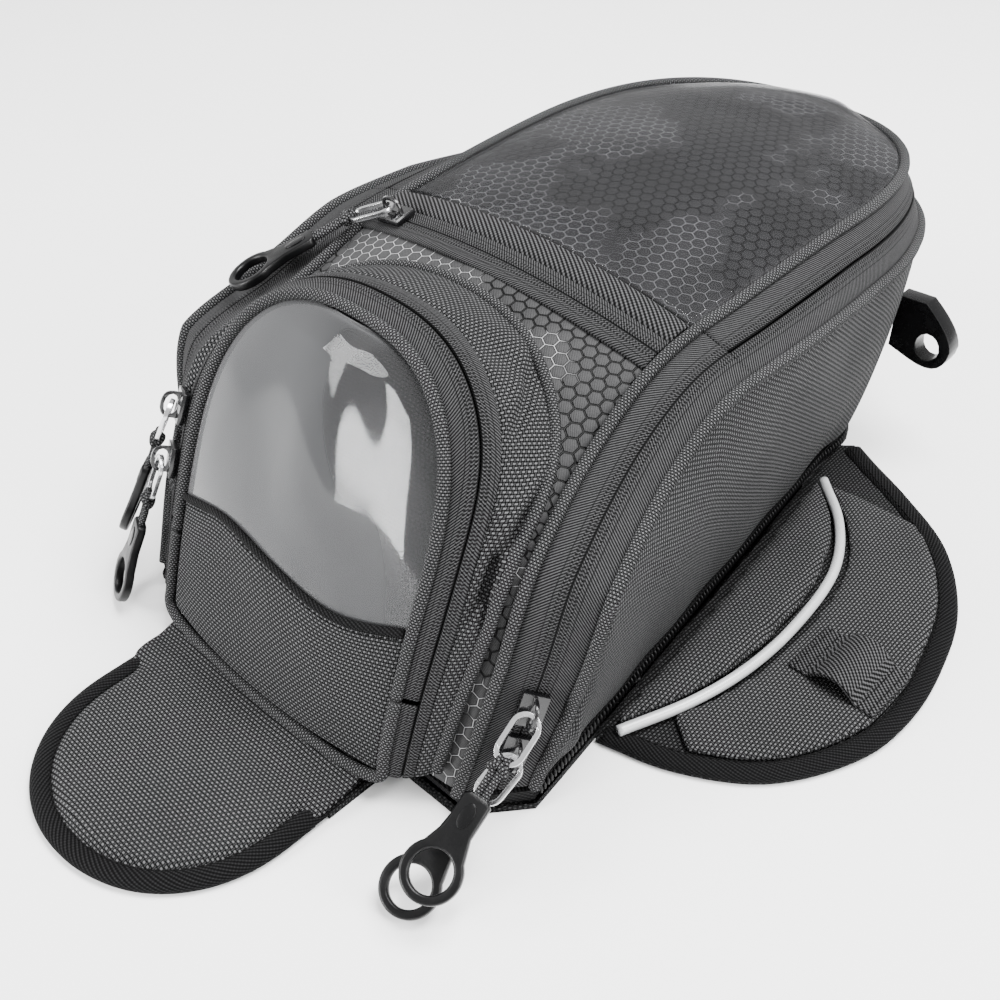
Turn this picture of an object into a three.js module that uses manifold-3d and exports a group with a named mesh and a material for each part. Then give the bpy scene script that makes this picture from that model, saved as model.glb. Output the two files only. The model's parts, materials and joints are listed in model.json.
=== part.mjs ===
// A soft motorcycle tank bag: a lofted fabric body on a magnetic base, with a phone
// pocket at its near end, a map pocket on its lid and three magnetic flaps.
// Millimetres. +Z is up, +Y runs from the phone pocket to the rounded far end, and the
// origin is the middle of the base's underside.
import * as THREE from 'three';
import { mergeVertices } from 'three/addons/utils/BufferGeometryUtils.js';
import Module from 'manifold-3d';

const wasm = await Module();
wasm.setup();

// ---- Driving dimensions ----

const clearance = 0.3; // between touching pieces
const panelThickness = 2.2; // padded fabric
const tapeThickness = 1.6;
const windowThickness = 0.9; // clear vinyl
const pipingRadius = 2.2;
const seamInset = pipingRadius + 0.4; // from a piping's centre line to the edge of a panel

const gussetWidth = 26.5; // the zip band between the two pipings
const coilGap = 0.8; // between the two halves of the zip

const baseThickness = 2.9;
const bandBottom = baseThickness + clearance;
const bandHeight = 5; // the zip that joins the bag to its base
const wallFoot = bandBottom + bandHeight + clearance;
const floorBottom = 5;
const floorThickness = 1.6;

// Right-hand top edge of the bag, where the upper piping runs: out, along, up.
const topStations = [
  [83, -151, 9], [86, -135, 53], [84, -115, 92], [74, -76, 110],
  [71, -40, 124.5], [72, 5, 129.5], [72, 57, 132],
];
const topArc = { startY: 57, half: 72, reach: 108, power: 2.5, startZ: 132, endZ: 125 };

// How far round the zip band has turned from facing up to facing out, along the edge.
const gussetTurn = [[0, 50], [0.11, 48], [0.215, 16], [0.32, 9], [0.414, 13],
  [0.52, 24], [0.646, 47], [0.78, 62], [0.9, 70], [1, 74]];
// How high the top and front panels are crowned in the middle, along the edge.
const panelCrown = [[0, 6], [0.11, 15], [0.23, 21], [0.32, 17], [0.414, 8.5],
  [0.65, 8], [0.85, 6], [0.97, 2], [1, 1]];

// Foot of the side walls: straight from the front corner, then an arc round the rear.
const footCorner = [100, -131];
const footFront = [84, -151];
const footArc = { startY: 90, half: 68, reach: 41, power: 4 };
// Which point of the foot stands under which point of the top edge.
const footMatch = [[0, 0], [0.11, 0.045], [0.215, 0.1], [0.32, 0.2], [0.414, 0.29],
  [0.52, 0.42], [0.646, 0.58], [0.86, 0.83], [1, 1]];
const rearSeam = 0.86; // where the side wall meets the rear wall
const sideBulge = 4;

const lidFold = 0.458; // where the lid folds, just behind the map pocket's zip

// Phone pocket. Its cover stands on a curve that leans back as it rises.
const cover = { footY: -164.4, footZ: 9.5, half: 60, leg: 71, height: 145, power: 2.57,
  lean: 14.4, extraLean: 16.5, bulge: 7 };
const coverFold = 34; // height along the cover at which it folds open
const windowFoot = 52; // height along the cover at which the clear window starts
const pocketBase = { half: 75, halfTop: 80, leg: 68, height: 152, power: 2.23 };
const edgeLength = 418; // of the top edge, from the front foot to the middle of the rear
const pocketZip = 0.285; // place of the pocket's zip across its wall

const flap = { half: 54, foldY: -184, tipY: -254, thickness: 2.6, padTop: 6.4, foldGap: 1.3 };
const magnet = { size: 34, thickness: 2 };
const wing = { thickness: 2.6, padTop: 5, rollTop: 8 };

const sliderSize = { length: 12, width: 9, thickness: 2.6 };
const link = { length: 19, width: 10.5, wire: 1.6 };
const pull = { cordLength: 15, cordWidth: 5.4, cordThickness: 2.4, headLength: 17, headHalf: 5,
  ringRadius: 10.3, holeRadius: 7.3, ringCentre: 27, thickness: 3.6 };

// ---- Materials ----

const finish = (color, roughness, metalness = 0) =>
  new THREE.MeshStandardMaterial({ color, roughness, metalness });
const fabric = () => finish(0x2c2d2f, 0.85);
const ripstop = () => finish(0x252628, 0.55);
const tape = () => finish(0x1d1e1f, 0.9);
const clear = () => finish(0x9a9da0, 0.12);
const silver = () => finish(0xb9bcbe, 0.35, 0.3);
const blackMetal = () => finish(0x0d0d0e, 0.25, 0.8);
const nickel = () => finish(0xb4b6b8, 0.2, 1);
const rubber = () => finish(0x121213, 0.5);
const plastic = () => finish(0x0a0a0b, 0.3);
const steel = () => finish(0x6d7073, 0.4, 0.9);

// ---- Small helpers ----

const bag = new THREE.Group();
const sides = [['right', 1], ['left', -1]];
const vec = (x, y, z) => new THREE.Vector3(x, y, z);
const mix = THREE.MathUtils.lerp;
const radians = THREE.MathUtils.degToRad;

function add(name, geometry, material, parent = bag) {
  const mesh = new THREE.Mesh(geometry, material);
  mesh.name = name;
  parent.add(mesh);
  return mesh;
}

// The value at x of a smooth line through [x, value] stops.
function ramp(x, stops) {
  if (x <= stops[0][0]) return stops[0][1];
  for (let i = 1; i < stops.length; i++) {
    const [x1, v1] = stops[i];
    const [x0, v0] = stops[i - 1];
    if (x <= x1) return mix(v0, v1, (x - x0) / (x1 - x0));
  }
  return stops.at(-1)[1];
}

// Quarter of a superellipse: angle 0 is on the first axis, 90 degrees on the second.
function roundCorner(half, reach, power, angle) {
  const first = half * Math.abs(Math.cos(angle)) ** (2 / power);
  const second = reach * Math.abs(Math.sin(angle)) ** (2 / power);
  return [first, second];
}

function closed(points, index) {
  const geometry = new THREE.BufferGeometry();
  geometry.setAttribute('position',
    new THREE.Float32BufferAttribute(points.flatMap((p) => [p.x, p.y, p.z]), 3));
  let volume = 0;
  for (let i = 0; i < index.length; i += 3) {
    const [a, b, c] = [points[index[i]], points[index[i + 1]], points[index[i + 2]]];
    volume += a.dot(b.clone().cross(c));
  }
  if (volume < 0) index.reverse();
  geometry.setIndex(index);
  return geometry;
}

// A sheet of even thickness under the surface point(a, b), a and b from 0 to 1. Its outer
// face looks away from the point inside.
function sheet(point, columns, rows, thickness, inside) {
  const step = 1e-3;
  const outer = [];
  const inner = [];
  for (let i = 0; i <= columns; i++) {
    for (let j = 0; j <= rows; j++) {
      const a = i / columns;
      const b = j / rows;
      const here = point(a, b);
      const along = point(Math.min(a + step, 1), b).sub(point(Math.max(a - step, 0), b));
      const across = point(a, Math.min(b + step, 1)).sub(point(a, Math.max(b - step, 0)));
      const normal = along.cross(across).normalize();
      if (normal.dot(here.clone().sub(inside(here))) < 0) normal.negate();
      outer.push(here);
      inner.push(here.clone().addScaledVector(normal, -thickness));
    }
  }
  const layer = outer.length;
  const at = (k, i, j) => k * layer + i * (rows + 1) + j;
  const index = [];
  const quad = (a, b, c, d) => index.push(a, b, c, a, c, d);
  for (let i = 0; i < columns; i++) {
    for (let j = 0; j < rows; j++) {
      quad(at(0, i, j), at(0, i + 1, j), at(0, i + 1, j + 1), at(0, i, j + 1));
      quad(at(1, i, j), at(1, i, j + 1), at(1, i + 1, j + 1), at(1, i + 1, j));
    }
    quad(at(0, i, 0), at(1, i, 0), at(1, i + 1, 0), at(0, i + 1, 0));
    quad(at(0, i, rows), at(0, i + 1, rows), at(1, i + 1, rows), at(1, i, rows));
  }
  for (let j = 0; j < rows; j++) {
    quad(at(0, 0, j), at(0, 0, j + 1), at(1, 0, j + 1), at(1, 0, j));
    quad(at(0, columns, j), at(1, columns, j), at(1, columns, j + 1), at(0, columns, j + 1));
  }
  return closed([...outer, ...inner], index);
}

// A round cord or piping along a line of points.
function tube(points, radius, steps, sides = 6) {
  const angles = range(sides).slice(0, -1).map((t) => 2 * Math.PI * t);
  const section = new THREE.Shape(angles.map((angle) =>
    new THREE.Vector2(radius * Math.cos(angle), radius * Math.sin(angle))));
  const extrudePath = new THREE.CatmullRomCurve3(points, false, 'centripetal');
  const settings = { extrudePath, steps, bevelEnabled: false };
  return new THREE.ExtrudeGeometry(section, settings);
}

function plate(outline, bottom, top, holes = [], curveSegments = 6) {
  const shape = outline instanceof THREE.Shape ? outline : new THREE.Shape(outline);
  shape.holes = holes;
  const settings = { depth: top - bottom, bevelEnabled: false, curveSegments };
  return new THREE.ExtrudeGeometry(shape, settings).translate(0, 0, bottom);
}

function solid(geometry) {
  const plain = geometry.clone();
  plain.deleteAttribute('normal');
  plain.deleteAttribute('uv');
  const merged = mergeVertices(plain, 1e-4);
  const vertProperties = merged.attributes.position.array;
  const triVerts = new Uint32Array(merged.index.array);
  return new wasm.Manifold(new wasm.Mesh({ numProp: 3, vertProperties, triVerts }));
}

function toGeometry(manifold) {
  const mesh = manifold.getMesh();
  const geometry = new THREE.BufferGeometry();
  geometry.setAttribute('position', new THREE.BufferAttribute(mesh.vertProperties, 3));
  geometry.setIndex(new THREE.BufferAttribute(mesh.triVerts, 1));
  return geometry;
}

const joined = (...parts) => toGeometry(parts.map(solid).reduce((all, one) => all.add(one)));
const cut = (body, ...tools) =>
  toGeometry(tools.map(solid).reduce((rest, one) => rest.subtract(one), solid(body)));

// An elliptical hole through a plate, as a ring of points.
function ellipseHole(x, y, halfWidth, halfHeight, count = 14) {
  const angles = range(count).slice(0, -1).map((t) => -2 * Math.PI * t);
  return new THREE.Path(angles.map((angle) =>
    new THREE.Vector2(x + halfWidth * Math.cos(angle), y + halfHeight * Math.sin(angle))));
}

const range = (count) => Array.from({ length: count + 1 }, (_, i) => i / count);

// ---- The lofted edges of the bag ----

// The whole top edge, from the right foot round the rear to the left foot.
const arcAngles = range(24).slice(1, -1).map((t) => t * Math.PI);
const rearPoints = arcAngles.map((angle) => {
  const [x, y] = roundCorner(topArc.half, topArc.reach, topArc.power, angle);
  const level = mix(topArc.startZ, topArc.endZ, (y / topArc.reach) ** 2);
  return vec(Math.sign(Math.cos(angle)) * (Math.abs(Math.cos(angle)) < 1e-9 ? 0 : x),
    topArc.startY + y, level);
});
const rightPoints = topStations.map((p) => vec(...p));
const leftPoints = topStations.map(([x, y, z]) => vec(-x, y, z)).reverse();
const topCurve = new THREE.CatmullRomCurve3([...rightPoints, ...rearPoints, ...leftPoints],
  false, 'centripetal');
topCurve.arcLengthDivisions = 1200;

// u runs 0 to 1 along the right half of the edge, from the foot to the middle of the rear.
const topAt = (u) => topCurve.getPointAt(u / 2);

// The directions across the zip band at u: outwards in plan, and into the bag.
function acrossAt(u) {
  const tangent = topCurve.getTangentAt(u / 2);
  const out = vec(tangent.y, -tangent.x, 0).normalize();
  if (u < 0.4) out.lerp(vec(1, 0, 0), 1 - u / 0.4).normalize();
  out.addScaledVector(tangent, -out.dot(tangent)).normalize();
  const into = tangent.clone().cross(out);
  const nearFoot = 1 - THREE.MathUtils.smoothstep(u, 0, 0.12);
  into.lerp(vec(0, 1, 0), nearFoot).normalize();
  out.z *= 1 - nearFoot;
  return { out, into, tangent };
}

// A point of the zip band: f is 0 at the upper piping and 1 at the lower one.
function gussetAt(u, f) {
  const { out, into } = acrossAt(u);
  const turn = radians(ramp(u, gussetTurn));
  return topAt(u)
    .addScaledVector(out, f * gussetWidth * Math.cos(turn))
    .addScaledVector(into, f * gussetWidth * Math.sin(turn));
}
const lowAt = (u) => gussetAt(u, 1);

// The same for a place w from 0, the right foot, to 2, the left foot.
const mirrored = (p) => vec(-p.x, p.y, p.z);
const bothSides = (at) => (w, ...rest) =>
  (w <= 1 ? at(w, ...rest) : mirrored(at(2 - w, ...rest)));

// Foot of the walls, by its share q of the length from the front corner to the rear.
const footArcPoints = range(16).map((t) => {
  const [x, y] = roundCorner(footArc.half, footArc.reach, footArc.power, t * Math.PI / 2);
  return new THREE.Vector2(t === 1 ? 0 : x, footArc.startY + y);
});
const footPoints = [new THREE.Vector2(...footCorner), ...footArcPoints];
const footLengths = footPoints.map((p, i) =>
  (i ? footPoints.slice(1, i + 1).reduce((sum, b, k) => sum + b.distanceTo(footPoints[k]), 0) : 0));
function footAt(q, z = wallFoot) {
  const length = q * footLengths.at(-1);
  const i = Math.max(1, footLengths.findIndex((l) => l >= length - 1e-9));
  const share = (length - footLengths[i - 1]) / (footLengths[i] - footLengths[i - 1]);
  const p = footPoints[i - 1].clone().lerp(footPoints[i], share);
  return vec(p.x, p.y, z);
}

// A point of the outer wall: v is 0 under the lower piping and 1 at the foot.
function wallAt(u, v) {
  const high = lowAt(u);
  const foot = footAt(ramp(u, footMatch));
  const down = foot.clone().sub(high);
  const { out, tangent } = acrossAt(u);
  const beside = down.clone().addScaledVector(tangent, -down.dot(tangent)).normalize();
  const start = high.clone().addScaledVector(beside, seamInset);
  const point = start.lerp(foot, v);
  const bulge = sideBulge * 4 * v * (1 - v) * Math.min(1, down.length() / 60);
  return point.addScaledVector(vec(out.x, out.y, 0), bulge);
}

// A point of the crowned panel between the two top edges: across runs -1 to 1.
function crownedAt(u, across, lift = 0, inset = seamInset) {
  const { out, tangent } = acrossAt(u);
  const edge = topAt(u).addScaledVector(out, -inset);
  const slope = vec(0, tangent.y, tangent.z);
  const rise = slope.length() > 0.3 ? vec(0, -slope.z, slope.y).normalize() : vec(0, 0, 1);
  const height = ramp(u, panelCrown) * (1 - across ** 2) + lift;
  return vec(across * edge.x, edge.y, edge.z).addScaledVector(rise, height);
}

const middle = vec(0, 20, 60);
const heart = () => middle;

// ---- Base ----

function outlineOf(offset) {
  const right = range(14).map((q) => footAt(q)).map((p) => new THREE.Vector2(p.x, p.y));
  const half = [new THREE.Vector2(...footFront), ...right];
  const points = [...half, ...half.slice(0, -1).reverse().map((p) => new THREE.Vector2(-p.x, p.y))];
  const count = points.length;
  return points.map((p, i) => {
    const before = points[(i + count - 1) % count];
    const after = points[(i + 1) % count];
    const along = after.clone().sub(before).normalize();
    return p.clone().add(new THREE.Vector2(along.y, -along.x).multiplyScalar(offset));
  });
}

function makeBase() {
  // The base's skin runs forward as a tongue that carries the front flap.
  const body = plate(outlineOf(1.5), 0, baseThickness);
  const tongueStart = footFront[1] + 4;
  const tongueLength = tongueStart - flap.foldY - flap.foldGap;
  const tongue = new THREE.BoxGeometry(2 * flap.half, tongueLength, baseThickness)
    .translate(0, tongueStart - tongueLength / 2, baseThickness / 2);
  add('base_plate', joined(body, tongue), fabric());
  const hole = new THREE.Path(outlineOf(-2.6));
  const band = plate(outlineOf(0), bandBottom, bandBottom + bandHeight, [hole]);
  add('base_zip_band', band, tape());
  add('bag_floor', plate(outlineOf(-2.6 - clearance), floorBottom, floorBottom + floorThickness),
    fabric());
}

// ---- Walls ----

function makeWalls() {
  const seamGap = pipingRadius + 0.3;
  const sideStart = 0.075;
  // Steps the surface sideways by a fixed distance near the rear seam.
  const beside = (u, v, distance) => {
    const point = wallAt(u, v);
    const along = wallAt(u + 0.004, v).sub(wallAt(u - 0.004, v)).normalize();
    return point.addScaledVector(along, distance);
  };
  for (const [side, sign] of sides) {
    const flip = (p) => vec(sign * p.x, p.y, p.z);
    const wall = (a, v) => {
      const u = mix(sideStart, rearSeam, a);
      const shift = -seamGap * THREE.MathUtils.smoothstep(a, 0.9, 1);
      return flip(beside(u, v, shift));
    };
    add(`side_panel_${side}`, sheet(wall, 20, 5, panelThickness, heart), fabric());
    const seam = range(8).map((v) => flip(wallAt(rearSeam, v * 0.97)));
    add(`rear_piping_${side}`, tube(seam, pipingRadius - 0.4, 8), silver());
  }
  const rear = (a, v) => {
    const w = mix(rearSeam, 2 - rearSeam, a);
    const u = w <= 1 ? w : 2 - w;
    const shift = seamGap * (1 - THREE.MathUtils.smoothstep(u, rearSeam, rearSeam + 0.05));
    const point = beside(Math.min(u, 0.995), v, shift);
    if (u > 0.995) point.x = wallAt(u, v).x;
    return w <= 1 ? point : mirrored(point);
  };
  add('rear_panel', sheet(rear, 12, 5, panelThickness, heart), fabric());
}

// ---- Zip band ----

function makeZipBand() {
  const edge = seamInset / gussetWidth;
  const halfGap = coilGap / 2 / gussetWidth;
  const open = lidFold;
  const lower = bothSides((u, b) => {
    const inner = ramp(u, [[open, edge], [open + 0.006, 0.5 + halfGap]]);
    return gussetAt(u, mix(inner, 1 - edge, b));
  });
  // The columns crowd at the step where the band drops to half its width.
  const stops = [...range(11).map((t) => t * open), ...range(15).map((t) =>
    mix(open + 0.006, 1, t))];
  const places = [...stops, ...stops.slice(0, -1).reverse().map((u) => 2 - u)];
  const count = places.length - 1;
  const placed = (a) => {
    const k = Math.min(count - 1, Math.floor(a * count));
    return mix(places[k], places[k + 1], a * count - k);
  };
  add('gusset_tape', sheet((a, b) => lower(placed(a), b), count, 2, tapeThickness, heart), tape());
  const upper = bothSides((u, b) => gussetAt(u, mix(edge, 0.5 - halfGap, b)));
  const lidStart = open + 0.009;
  add('lid_gusset_tape',
    sheet((a, b) => upper(mix(lidStart, 2 - lidStart, a), b), 32, 1, tapeThickness, heart), tape());
}

// ---- Top and front panels, pipings ----

function makePanels() {
  const frontStart = 0.004;
  const front = (a, b) => crownedAt(mix(frontStart, lidFold, a), mix(-1, 1, b));
  add('front_panel', sheet(front, 14, 8, panelThickness, heart), ripstop());
  const lidEnd = 0.965;
  const lidStart = lidFold + 0.003;
  const lid = (a, b) => crownedAt(mix(lidStart, lidEnd, a), mix(-1, 1, b));
  add('lid_panel', sheet(lid, 14, 8, panelThickness, heart), ripstop());
  const windowLift = 2;
  const windowReach = 0.965;
  const window = (a, b) => crownedAt(mix(lidStart, lidEnd - 0.01, a),
    mix(-windowReach, windowReach, b), windowLift);
  add('map_window', sheet(window, 14, 8, windowThickness, heart), clear());

  const stripLift = tapeThickness + 2 * clearance;
  const stripReach = 0.97;
  const strip = (from, to) => (a, b) =>
    crownedAt(mix(from, to, a), mix(-stripReach, stripReach, b), stripLift);
  add('map_zip_tape', sheet(strip(0.4, 0.428), 1, 12, tapeThickness, heart), tape());
  add('map_binding', sheet(strip(0.4305, lidFold - 0.002), 1, 12, tapeThickness, heart), tape());

  const along = (at, from, to, count) => range(count).map((t) => at(mix(from, to, t)));
  const top = bothSides(topAt);
  const low = bothSides(lowAt);
  add('front_piping_right', tube(along(top, 0.002, lidFold, 14), pipingRadius, 14), fabric());
  add('front_piping_left', tube(along(top, 2 - lidFold, 1.998, 14), pipingRadius, 14), fabric());
  const rimStart = lidFold + 0.002;
  add('lid_piping', tube(along(top, rimStart, 2 - rimStart, 32), pipingRadius, 40), fabric());
  add('lower_piping', tube(along(low, 0.004, 1.996, 48), pipingRadius, 60), fabric());
}

// ---- Phone pocket ----

// A point of the cover's surface, by its height along the curve: x, and depth behind it.
function coverAt(x, height, depth = 0) {
  const steps = 24;
  let y = cover.footY;
  let z = cover.footZ;
  let lean = 0;
  for (let i = 0; i < steps; i++) {
    const share = (i + 0.5) / steps;
    lean = radians(cover.lean + cover.extraLean * share * height / cover.height);
    y += Math.sin(lean) * height / steps;
    z += Math.cos(lean) * height / steps;
  }
  lean = radians(cover.lean + cover.extraLean * height / cover.height);
  return vec(x, y + Math.cos(lean) * depth, z - Math.sin(lean) * depth);
}

// An arch outline: t runs 0 to 1 up the right leg to the crown of the arch.
const legShare = 0.4;
function archAt(arch, t, inset = 0) {
  const half = arch.half - inset;
  const top = arch.height - inset;
  if (t < legShare) return [half, arch.leg * t / legShare];
  const angle = ((t - legShare) / (1 - legShare)) * Math.PI / 2;
  const [x, y] = roundCorner(half, top - arch.leg, arch.power, angle);
  return [t === 1 ? 0 : x, arch.leg + y];
}

const rimAt = (t) => coverAt(...archAt(cover, t));
const baseLift = pipingRadius + 0.5;
function pocketFootAt(t) {
  const [x, height] = archAt(pocketBase, t);
  const widened = x * mix(1, pocketBase.halfTop / pocketBase.half, Math.min(1, height / 60));
  const u = 0.012 + height / edgeLength;
  const edge = topAt(u).x - seamInset;
  return crownedAt(u, widened / edge, baseLift);
}
// A point of the pocket's wall: f is 0 at the cover's rim and 1 at the front panel.
function pocketWallAt(t, f) {
  const point = rimAt(t).lerp(pocketFootAt(t), f);
  const puff = 3 * 4 * f * (1 - f);
  const outward = vec(point.x, 0, Math.max(0, point.z - 70)).normalize();
  return point.addScaledVector(outward, puff);
}
const heightShare = (height) => (height / cover.leg) * legShare;

function makePocket() {
  // Shares of the wall's width that the two pipings take at its edges.
  const inset = (t) => 2.9 / rimAt(t).distanceTo(pocketFootAt(t));
  const outerInset = (t) => 4.3 / rimAt(t).distanceTo(pocketFootAt(t));
  const foldT = heightShare(coverFold);
  const stepT = foldT + 0.012;
  const wall = bothSides((t, b) => {
    const inner = ramp(t, [[foldT, inset(t)], [stepT, pocketZip + 0.02]]);
    return pocketWallAt(t, mix(inner, 1 - outerInset(t), b));
  });
  const stops = [...range(4).map((t) => mix(0.012, foldT, t)), ...range(16).map((t) =>
    mix(stepT, 1, t))];
  const places = [...stops, ...stops.slice(0, -1).reverse().map((u) => 2 - u)];
  const count = places.length - 1;
  const placed = (a) => {
    const k = Math.min(count - 1, Math.floor(a * count));
    return mix(places[k], places[k + 1], a * count - k);
  };
  const pocketHeart = () => vec(0, -125, 75);
  const shell = sheet((a, b) => wall(placed(a), b), count, 3, tapeThickness, pocketHeart);
  const floorLine = [[70, -157], [64.6, -161], [54, -160], [38, -162.6], [0, -164.6]];
  const floorOutline = [...floorLine.map(([x, y]) => new THREE.Vector2(-x, y)),
    ...floorLine.slice(0, -1).reverse().map(([x, y]) => new THREE.Vector2(x, y))];
  const floorPlate = plate(floorOutline, cover.footZ + 3.5, cover.footZ + 5.5);
  add('pocket_shell', joined(shell, floorPlate), fabric());

  const archLine = (at, from, to, count2) =>
    range(count2).map((t) => bothSides(at)(mix(from, to, t)));
  add('pocket_base_piping',
    tube(archLine(pocketFootAt, 0.012, 1.988, 32), pipingRadius, 40), fabric());

  const split = foldT + 0.006;
  add('cover_piping', tube(archLine(rimAt, split, 2 - split, 30), pipingRadius, 36), fabric());
  const corner = (sign) => range(5).map((t) => {
    const p = rimAt(mix(foldT - 0.006, 0.01, t));
    return vec(sign * p.x, p.y, p.z);
  });
  const low = [...corner(1), vec(cover.half - 8, cover.footY - 2, cover.footZ - 0.4),
    vec(0, cover.footY - cover.bulge + 2, cover.footZ - 0.4),
    vec(8 - cover.half, cover.footY - 2, cover.footZ - 0.4), ...corner(-1).reverse()];
  add('pocket_lower_piping', tube(low, pipingRadius, 32), fabric());

  const coverTape = bothSides((t, b) => pocketWallAt(t, mix(inset(t), pocketZip, b)));
  const tapeStart = stepT + 0.006;
  add('cover_zip_tape', sheet((a, b) => coverTape(mix(tapeStart, 2 - tapeStart, a), b), 28, 1,
    tapeThickness, pocketHeart), tape());

  // The cover itself: rows up its height, columns across it.
  const inner = { ...cover, half: cover.half - seamInset, height: cover.height - seamInset };
  const face = (from, to) => (a, b) => {
    const t = mix(from, to, a);
    const [half, height] = archAt(inner, t);
    const across = mix(-1, 1, b);
    const shape = Math.min(1, half / 40);
    return coverAt(across * half, height, -cover.bulge * shape * (1 - across ** 2));
  };
  const windowT = heightShare(windowFoot);
  const pitch = 0.002;
  add('pocket_lower_panel',
    sheet(face(heightShare(3), foldT - pitch), 3, 8, panelThickness, pocketHeart), fabric());
  add('cover_panel',
    sheet(face(foldT + pitch, windowT - pitch), 2, 8, panelThickness, pocketHeart), fabric());
  add('cover_window',
    sheet(face(windowT + pitch, 0.985), 14, 8, windowThickness, pocketHeart), clear());
}

// ---- Flaps ----

function makeFrontFlap() {
  const reach = flap.foldY - flap.tipY;
  const shoulder = 16;
  const outline = (inset, rootY) => {
    const half = flap.half - inset;
    const arc = range(14).map((t) => {
      const angle = t * Math.PI;
      const [x, y] = roundCorner(half, reach - shoulder - inset, 2.1, angle);
      return new THREE.Vector2(Math.sign(Math.cos(angle)) * x, flap.foldY - shoulder - y);
    });
    return [new THREE.Vector2(half, rootY), ...arc, new THREE.Vector2(-half, rootY)].reverse();
  };
  const root = flap.foldY - flap.foldGap;
  const bindingWidth = 6;
  add('flap_sheet', plate(outline(0, root), 0, flap.thickness), fabric());
  const padBottom = flap.thickness + clearance;
  const recess = new THREE.BoxGeometry(magnet.size + 1, magnet.size + 1, 2 * magnet.thickness + 1)
    .translate(0, flap.foldY - 34, padBottom);
  add('flap_pad', cut(plate(outline(bindingWidth + 2.4, root - 4), padBottom, flap.padTop), recess),
    fabric());
  add('flap_magnet', new THREE.BoxGeometry(magnet.size, magnet.size, magnet.thickness)
    .translate(0, flap.foldY - 34, padBottom + clearance + magnet.thickness / 2), steel());
}

// Outer outline of the right wing, from the front of its root to the rear.
const wingEdge = [[98, -96], [125, -88], [153, -69], [171, -36], [174, -10], [170, 18],
  [159, 50], [136, 80], [106, 98], [84, 108], [72, 114]];
// Outer edge of its roll, the padded part next to the bag.
const wingRoll = [[101, -90], [111.5, -61], [116.5, -35], [117, -5], [110.6, 34], [96, 60],
  [76, 79]];
const wingCurve = (points) => new THREE.SplineCurve(points.map((p) => new THREE.Vector2(...p)));
const rootGap = 2.4; // from the base's edge to the wing
const rollGap = 6.5; // from the base's edge to the padded roll
function rootLine(gapFromBase) {
  const a = new THREE.Vector2(...footCorner);
  const b = new THREE.Vector2(footArc.half, footArc.startY);
  const along = b.clone().sub(a).normalize();
  const out = new THREE.Vector2(along.y, -along.x);
  return (y) => {
    const share = (y - a.y) / (b.y - a.y);
    return a.clone().lerp(b, share).addScaledVector(out, gapFromBase);
  };
}

function makeWing(side, sign) {
  const flip = (points) => {
    const turned = points.map((p) => new THREE.Vector2(sign * p.x, p.y));
    return sign > 0 ? turned : turned.reverse();
  };
  const shrink = (points, inset) => {
    const centre = new THREE.Vector2(112, 4);
    return points.map((p) => {
      const inward = centre.clone().sub(p).normalize();
      return p.clone().addScaledVector(inward, inset);
    });
  };
  const edge = wingCurve(wingEdge).getPoints(26);
  const root = rootLine(rootGap);
  const closeRoot = (points, lowY, highY) => [...points, root(highY), root(lowY)];
  const bindingWidth = 6;
  const outer = closeRoot(edge, -97, 110);
  add(`wing_sheet_${side}`, plate(flip(outer), 0, wing.thickness), fabric());

  const roll = wingCurve(wingRoll).getPoints(14);
  const padBottom = wing.thickness + clearance;
  const padInner = roll.filter((p) => p.y > -76).map((p) => new THREE.Vector2(p.x + 5.6, p.y + 2));
  const padEdge = shrink(edge, bindingWidth + 2.4).filter((p) => p.y > -80 && p.y < 84);
  const outerPad = [...padEdge, ...padInner.reverse()];
  const slot = new THREE.BoxGeometry(20, 60, 2 * magnet.thickness + 1)
    .translate(sign * 143, -4, padBottom);
  add(`wing_pad_${side}`,
    cut(plate(flip(outerPad), padBottom, wing.padTop + 1), slot), fabric());
  add(`wing_magnet_${side}`, new THREE.BoxGeometry(19, 59, magnet.thickness)
    .translate(sign * 143, -4, padBottom + clearance + magnet.thickness / 2), steel());
  const rollRoot = rootLine(rollGap);
  const rollPad = [...roll.map((p) => new THREE.Vector2(p.x - 1.8, p.y)), rollRoot(74), rollRoot(-84)];
  add(`wing_roll_${side}`, plate(flip(rollPad), padBottom, wing.rollTop), fabric());
  const piping = wingCurve(wingRoll).getPoints(12)
    .map((p) => vec(sign * (p.x + 2), p.y, padBottom + pipingRadius + 0.3));
  add(`wing_piping_${side}`, tube(piping, 1.6, 24), silver());
  // A strap of webbing, sewn down at both ends and standing clear in its middle.
  const strap = new THREE.Shape();
  const foot = wing.padTop + 1 + clearance;
  strap.moveTo(129, foot).lineTo(137, foot).quadraticCurveTo(147, foot + 12, 157, foot);
  strap.lineTo(165, foot).lineTo(165, foot + 1.6).lineTo(157.6, foot + 1.6);
  strap.quadraticCurveTo(147, foot + 13.8, 136.4, foot + 1.6).lineTo(129, foot + 1.6);
  const settings = { depth: 27, bevelEnabled: false, curveSegments: 8 };
  const webbing = new THREE.ExtrudeGeometry(strap, settings).rotateX(Math.PI / 2)
    .translate(0, 3.5, 0);
  if (sign < 0) webbing.rotateZ(Math.PI).translate(0, -20, 0);
  add(`wing_loop_${side}`, webbing, tape());
}

// ---- Strap lugs at the rear ----

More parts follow.
